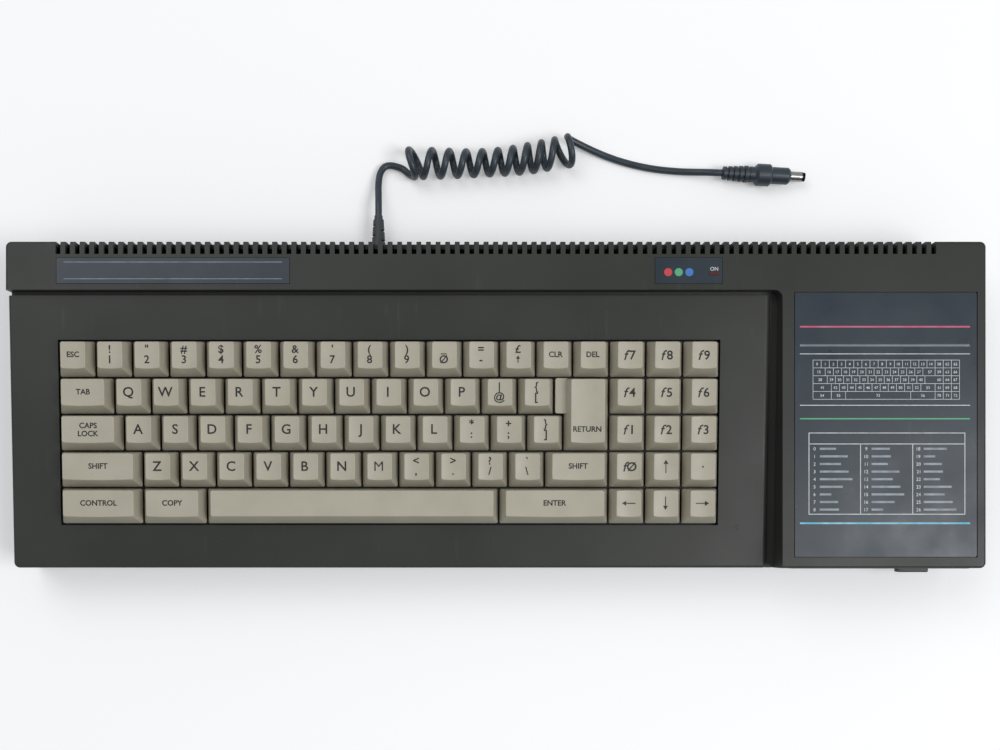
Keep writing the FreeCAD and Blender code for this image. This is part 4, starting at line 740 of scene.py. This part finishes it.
    def print_key(self, key: KeyTop) -> None:
        """Prints what one key carries.

        Args:
            key: The key.
        """
        arrows = {"arrow_up": 90, "arrow_down": -90, "arrow_left": 180, "arrow_right": 0}
        if key.lower in arrows:
            self.stamp(key, self.arrow(arrows[key.lower], 7.0, 2.6), 0, 0)
        elif key.lower == "dot":
            self.stamp(key, lettering(".", self.digit, 0.15), 0, 1.6)
        elif key.upper == "f":
            self.stamp(key, lettering("f", self.letter, self.weight), -1.7, 0, slant=0.25)
            self.stamp(key, lettering(key.mark(), self.letter * 0.92, self.weight), 1.4, 0)
        elif key.upper == "CAPS":
            self.stamp(key, lettering("CAPS", self.word, self.weight), 0, 2.1)
            self.stamp(key, lettering("LOCK", self.word, self.weight), 0, -2.1)
        elif key.node == "return_key":
            self.stamp(key, lettering(key.lower, self.word, self.weight), -0.3, -9.4)
        elif key.upper:
            self.stamp(key, lettering(key.upper, self.digit, self.weight), -0.3, 3.1)
            if key.lower == "up":
                self.stamp(key, self.arrow(90, 3.8, 2.1), -0.3, -2.2)
            else:
                self.stamp(key, lettering(key.lower, self.digit, self.weight), -0.3, -2.2)
        elif len(key.lower) > 1:
            self.stamp(key, lettering(key.lower, self.word, self.weight), 0, 0.3)
        else:
            # The outline of a thickened M turns inside out, so M keeps its plain strokes.
            weight = 0.0 if key.lower == "M" else self.weight
            self.stamp(key, lettering(key.lower, self.letter, weight), -0.5, 0.3)

    def build(self) -> None:
        """Prints the keys and dresses the caps, springs, frame and back plate."""
        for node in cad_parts:
            named_key = node.endswith(("_key", "_keys")) or node == "space_bar"
            if named_key or node.startswith(("key_column", "function_keys")):
                dress(node, KEY_PLASTIC)
        dress("keyboard_frame", BEZEL)
        dress("keyboard_backplate", SHEET_STEEL)
        dress("key_springs", SCREW_STEEL)
        for key in self.keys():
            self.print_key(key)
        for node, faces in self.letters.items():
            mesh_piece(f"{node}_print", faces, KEY_INK, node)


@dataclass
class PrintedPlates:
    """The blank name plate, the lamp's plate and the drive's printed panel, in millimetres.

    Each coloured line has its middle and its width. The plan of the keys is counted in key
    units and rows, and the chart in columns and rows.
    """

    strip_top: float = 48.23
    panel_top: float = 47.93
    panel_left: float = 158.0
    panel_right: float = 246.4
    fine: float = 0.35
    pink: tuple[float, float] = (40.5, 0.9)
    green: tuple[float, float] = (-7.3, 0.7)
    cyan: tuple[float, float] = (-61.6, 0.9)
    white: tuple[float, float] = (26.4, -0.3)
    zigzag_ends: tuple[float, float] = (30.2, 31.4)
    zigzag_step: float = 0.7
    zigzag_half: float = 0.16
    plan_corner: tuple[float, float] = (164.8, 23.2)
    plan_unit: float = 4.228
    plan_row: float = 4.08
    plan_units: int = 18
    plan_rows: int = 5
    chart_x: tuple[float, float] = (162.7, 243.7)
    chart_y: tuple[float, float] = (-56.9, -14.7)
    chart_head: float = -20.4
    chart_dividers: tuple[float, float] = (189.5, 216.6)
    chart_numbers: Point = (165.0, 191.9, 219.0)
    chart_bars: Point = (168.3, 195.2, 222.3)
    chart_rows: int = 9
    chart_first: float = -22.9
    chart_pitch: float = 3.95
    spot_y: float = 68.8
    spot_radius: float = 2.1
    rule_x: tuple[float, float] = (-224.5, -111.0)
    rule_y: tuple[tuple[float, float], ...] = ((65.2, 65.5), (73.9, 74.2))

    def line(self, y: float, width: float, x: tuple[float, float] | None = None) -> list[Point]:
        """A level printed line across the panel.

        Args:
            y: The middle of the line.
            width: Its width.
            x: Its ends, or the panel's own margins.

        Returns:
            Its corners.
        """
        ends = x or (self.panel_left, self.panel_right)
        return flat_bar(ends, (y - width / 2, y + width / 2), self.panel_top)

    def frame_lines(self, x: tuple[float, float], y: tuple[float, float],
                    width: float) -> list[list[Point]]:
        """The four lines of a printed box.

        Args:
            x: The left and right edges.
            y: The front and back edges.
            width: The width of the lines.

        Returns:
            The corners of each line.
        """
        half = width / 2
        z = self.panel_top
        return [
            flat_bar((x[0] - half, x[1] + half), (y[0] - half, y[0] + half), z),
            flat_bar((x[0] - half, x[1] + half), (y[1] - half, y[1] + half), z),
            flat_bar((x[0] - half, x[0] + half), (y[0] + half, y[1] - half), z),
            flat_bar((x[1] - half, x[1] + half), (y[0] + half, y[1] - half), z),
        ]

    def text_faces(self, text: str, height: float, x: float, y: float,
                   z: float) -> list[list[Point]]:
        """Flat lettering at a place.

        Args:
            text: The letters or digits.
            height: The height of a capital.
            x: The middle.
            y: The middle.
            z: The height above the table.

        Returns:
            The corners of each face.
        """
        mesh = lettering(text, height)
        faces = [
            [(x + mesh.vertices[i].co.x, y + mesh.vertices[i].co.y, z) for i in face.vertices]
            for face in mesh.polygons
        ]
        bpy.data.meshes.remove(mesh)
        return faces

    def coloured_lines(self) -> None:
        """The three coloured lines across the panel and their white neighbours."""
        for name, finish, place in (("pink", PRINT_PINK, self.pink),
                                    ("green", PRINT_GREEN, self.green),
                                    ("cyan", PRINT_CYAN, self.cyan)):
            mesh_piece(f"panel_line_{name}", [self.line(*place)], finish, "case")
        white = [self.line(y, self.fine) for y in self.white]
        mesh_piece("panel_lines_white", white, PRINT_WHITE, "case")

    def zigzag(self) -> None:
        """The fine zigzag line below the heading."""
        faces = []
        z, half = self.panel_top, self.zigzag_half
        count = int((self.panel_right - self.panel_left) / self.zigzag_step)
        for k in range(count):
            x = self.panel_left + k * self.zigzag_step
            after = x + self.zigzag_step
            left, right = self.zigzag_ends if k % 2 == 0 else self.zigzag_ends[::-1]
            faces.append([(x, left - half, z), (after, right - half, z),
                          (after, right + half, z), (x, left + half, z)])
        mesh_piece("panel_zigzag", faces, PRINT_WHITE, "case")

    def key_diagram(self) -> None:
        """A plain plan of the keys, ruled in cells with a number in each."""
        left, back = self.plan_corner
        unit, row_depth = self.plan_unit, self.plan_row
        front = back - self.plan_rows * row_depth
        rules = CopyGrid(1, self.plan_rows + 1, 1.0, row_depth, self.plan_units * unit, 0.2)
        corner = (left + self.plan_units / 2 * unit, front, self.panel_top)
        mesh = rules.mesh(corner, PRINT_WHITE)
        placed("panel_key_rules", mesh, PRINT_WHITE, "case")
        faces = [flat_bar((left - 0.1, left + 0.1), (front, back), self.panel_top)]
        for index, key in enumerate(Keyboard().keys() + [KeyTop("space_bar", 4, 4, 8)]):
            right = left + (key.unit + key.wide) * unit
            top = back - key.row * row_depth
            faces.append(flat_bar((right - 0.1, right + 0.1), (top - row_depth, top),
                                  self.panel_top))
            faces += self.text_faces(str(index), 1.5, right - key.wide * unit / 2,
                                     top - row_depth / 2, self.panel_top)
        mesh_piece("panel_key_numbers", faces, PRINT_WHITE, "case")

    def chart(self) -> None:
        """A ruled box of three columns with a number and a short bar on each line."""
        white = self.frame_lines(self.chart_x, self.chart_y, self.fine)
        white.append(self.line(self.chart_head, self.fine, self.chart_x))
        for divider in self.chart_dividers:
            white.append(flat_bar((divider - 0.17, divider + 0.17),
                                  (self.chart_y[0], self.chart_head), self.panel_top))
        for column, left in enumerate(self.chart_numbers):
            for row in range(self.chart_rows):
                number = str(column * self.chart_rows + row)
                white += self.text_faces(number, 1.8, left + 0.6,
                                         self.chart_first - self.chart_pitch * row,
                                         self.panel_top)
        mesh_piece("panel_chart", white, PRINT_WHITE, "case")
        bars = []
        widths = (8.5, 12.0, 14.5, 6.0, 11.0, 9.5, 15.0, 10.0, 17.0)
        for column, left in enumerate(self.chart_bars):
            for row in range(self.chart_rows):
                width = widths[(row * 2 + column * 5) % len(widths)]
                y_mid = self.chart_first - self.chart_pitch * row
                bars.append(flat_bar((left, left + width), (y_mid - 0.55, y_mid + 0.55),
                                     self.panel_top))
        mesh_piece("panel_chart_bars", bars, PRINT_GREY, "case")

    def lamp_plate(self) -> None:
        """Three round spots in three colours and the word by the lamp."""
        for name, finish, x in (("red", PRINT_RED, 89.5), ("green", PRINT_GREEN, 95.0),
                                ("blue", PRINT_BLUE, 100.5)):
            ring = [(x + self.spot_radius * math.cos(math.radians(a)),
                     self.spot_y + self.spot_radius * math.sin(math.radians(a)),
                     self.strip_top) for a in range(0, 360, 12)]
            mesh_piece(f"lamp_plate_spot_{name}", [ring], finish, "case")
        word = self.text_faces("ON", 2.0, 113.4, 70.6, self.strip_top)
        mesh_piece("lamp_plate_word", word, PRINT_WHITE, "case")

    def build(self) -> None:
        """Dresses the plates and prints them."""
        for node in ("drive_panel", "name_plate", "indicator_plate"):
            dress(node, FILM)
        self.coloured_lines()
        self.zigzag()
        self.key_diagram()
        self.chart()
        self.lamp_plate()
        rules = [flat_bar(self.rule_x, y, self.strip_top) for y in self.rule_y]
        mesh_piece("name_plate_rules", rules, PRINT_GREY, "case")


@dataclass
class Inside:
    """The boards, the sockets and the disc drive, which keep their modelled shapes."""

    finishes: dict[str, Finish] = field(default_factory=lambda: {
        "main_board": BOARD,
        "board_chips": CHIP,
        "din_sockets": SOCKET,
        "jack_sockets": SOCKET,
        "joystick_port": SHEET_STEEL,
        "volume_wheel": BEZEL,
        "power_switch": BEZEL,
        "drive_chassis": SHEET_STEEL,
        "drive_bezel": BEZEL,
        "drive_flap": BEZEL,
        "eject_button": BEZEL,
        "spindle_flywheel": TURNED_ALLOY,
        "drive_motor": SHEET_STEEL,
        "motor_pulley": TURNED_ALLOY,
        "drive_belt": RUBBER,
        "head_carriage": CHIP,
    })

    def build(self) -> None:
        """Dresses each piece."""
        for node, finish in self.finishes.items():
            dress(node, finish)


@dataclass
class PowerLead:
    """The lead from its strain relief through the curls to the barrel plug, in millimetres.

    The curls swell and shrink by a little, close up along the lead and drift to the back.
    """

    diameter: float = 3.8
    length: float = 608.0
    curls: int = 11
    radius: float = 6.7
    swell: float = 0.55
    swell_turns: int = 9
    first_x: float = -37.6
    pitch: float = 9.9
    tighten: float = 0.162
    run_in: float = 5.26
    last_bend: float = 5.4
    run_out: float = 14.4
    axis_y: float = 138.0
    drift: float = 7.7
    steps: int = 16
    turns_drawn: float = 10.9
    start: tuple[Point, ...] = (
        (-62.6, 108.7, 10.0),
        (-62.6, 115.0, 10.0),
        (-62.75, 120.6, 7.2),
        (-63.0, 126.6, 5.0),
        (-62.4, 134.6, 2.9),
        (-58.6, 139.7, 2.3),
    )
    tail: tuple[Point, ...] = (
        (61.53, 145.05, 1.9),
        (76.5, 140.0, 1.9),
        (91.5, 136.9, 1.9),
        (105.5, 135.6, 2.0),
        (113.8, 134.9, 3.6),
        (121.41, 134.066, 5.95),
        (128.6, 133.7, 5.95),
    )

    def curl(self, turns: float) -> Point:
        """Finds the middle of the lead at a number of turns along the curls.

        Args:
            turns: The turns, counted from the front of the first curl.

        Returns:
            The control point, a little outside the line so that the smooth curve keeps its size.
        """
        last = self.curls - 0.5
        wire = self.diameter / 2
        size = self.radius + self.swell * math.cos(2 * math.pi * turns / self.swell_turns)
        x = self.first_x + self.pitch * (turns - 1) - self.tighten * (turns - 1) ** 2
        if turns < 1:
            x += self.run_in * math.cos(2 * math.pi * turns) * (1 - turns)
        if last - 1 < turns < last:
            x += self.last_bend * math.sin(math.pi * (last - turns)) ** 2
        if turns > last:
            x += self.run_out * ((turns - last) / 0.25) ** 2
        axis = self.axis_y + self.drift * max(turns / last, 0) ** 3
        reach = size / (0.5 + 0.5 * math.cos(math.pi / self.steps) ** 2) ** 0.5
        angle = 2 * math.pi * turns
        return (x, axis - reach * math.cos(angle), size + wire + reach * math.sin(angle))

    def route(self) -> list[Point]:
        """Lists the control points of the whole lead.

        Returns:
            The points.
        """
        points = list(self.start)
        count = round(self.turns_drawn * self.steps)
        points += [self.curl(-0.25 + k / self.steps) for k in range(count)]
        return points + list(self.tail)

    def build(self) -> None:
        """Lays the lead as one smooth curve and dresses what is on it."""
        curve = bpy.data.curves.new("power_lead", "CURVE")
        curve.dimensions = "3D"
        spline = curve.splines.new("NURBS")
        points = self.route()
        spline.points.add(len(points) - 1)
        for spot, point in zip(spline.points, points):
            spot.co = (point[0] * MM, point[1] * MM, point[2] * MM, 1)
        spline.order_u = 3
        spline.use_endpoint_u = True
        spline.resolution_u = 4
        curve.bevel_depth = self.diameter / 2 * MM
        curve.bevel_resolution = 5
        curve.materials.append(LEAD_RUBBER.material())
        lead = bpy.data.objects.new("power_lead", curve)
        bpy.context.scene.collection.objects.link(lead)
        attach(lead, "case")
        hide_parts("lead_start", "lead_curls", "lead_tail")
        dress("strain_relief", RELIEF_RUBBER)
        dress("plug_body", LEAD_RUBBER)
        dress("plug_contact", CONTACT)
        log.info("power_lead has %d points", len(points))


@dataclass
class Studio:
    """The pale floor, the soft lamps and the camera above, in metres."""

    lens: float = 41.58
    place: Point = (-0.0342, -0.0703, 0.648)
    shift: tuple[float, float] = (0.07, 0.165)
    paper_glow: float = 0.16

    def floor(self) -> None:
        """A wide pale floor."""
        mesh = bpy.data.meshes.new("floor")
        mesh.from_pydata([(-4, -4, 0), (4, -4, 0), (4, 4, 0), (-4, 4, 0)], [], [(0, 1, 2, 3)])
        floor = bpy.data.objects.new("floor", mesh)
        bpy.context.scene.collection.objects.link(floor)
        paper = bpy.data.materials.new("floor_paper")
        paper.use_nodes = True
        shader = next(n for n in paper.node_tree.nodes if n.type == "BSDF_PRINCIPLED")
        shader.inputs["Base Color"].default_value = (0.91, 0.91, 0.92, 1)
        shader.inputs["Roughness"].default_value = 0.8
        shader.inputs["Specular IOR Level"].default_value = 0.2
        shader.inputs["Emission Color"].default_value = (1, 1, 1, 1)
        rays = paper.node_tree.nodes.new("ShaderNodeLightPath")
        share = paper.node_tree.nodes.new("ShaderNodeMath")
        share.operation = "MULTIPLY"
        share.inputs[1].default_value = self.paper_glow
        paper.node_tree.links.new(rays.outputs["Is Camera Ray"], share.inputs[0])
        paper.node_tree.links.new(share.outputs[0], shader.inputs["Emission Strength"])
        mesh.materials.append(paper)

    def lamp(self, name: str, place: Point, aim: Point, size: float, power: float) -> None:
        """A square soft lamp.

        Args:
            name: Its name.
            place: Where it hangs.
            aim: What it points at.
            size: Its side.
            power: Its power in watts.
        """
        light = bpy.data.lights.new(name, "AREA")
        light.shape = "SQUARE"
        light.size = size
        light.energy = power
        holder = bpy.data.objects.new(name, light)
        holder.location = place
        way = Vector(aim) - Vector(place)
        holder.rotation_euler = way.to_track_quat("-Z", "Y").to_euler()
        bpy.context.scene.collection.objects.link(holder)

    def build(self) -> None:
        """Sets the floor, lamps, world and camera."""
        scene = bpy.context.scene
        scene.view_settings.view_transform = "Standard"
        self.floor()
        self.lamp("lamp_over", (-0.9, 0.9, 1.9), (0, 0, 0), 1.4, 12)
        self.lamp("lamp_right", (1.15, -0.4, 1.8), (0.1, 0, 0), 0.9, 19)
        world = bpy.data.worlds.new("studio")
        world.use_nodes = True
        back = next(n for n in world.node_tree.nodes if n.type == "BACKGROUND")
        back.inputs["Color"].default_value = (0.96, 0.98, 1.0, 1)
        back.inputs["Strength"].default_value = 0.42
        scene.world = world
        lens = bpy.data.cameras.new("camera")
        lens.lens = self.lens
        lens.sensor_width = 36
        lens.shift_x, lens.shift_y = self.shift
        camera = bpy.data.objects.new("camera", lens)
        camera.location = self.place
        scene.collection.objects.link(camera)
        scene.camera = camera


def main() -> None:
    """Builds every sub-assembly in order."""
    logging.basicConfig(level=logging.INFO)
    for part in (Studio(), PowerLead(), Casing(), Keyboard(), PrintedPlates(), Inside()):
        part.build()
        log.info("%s is built", type(part).__name__)


if __name__ == "__main__":
    main()
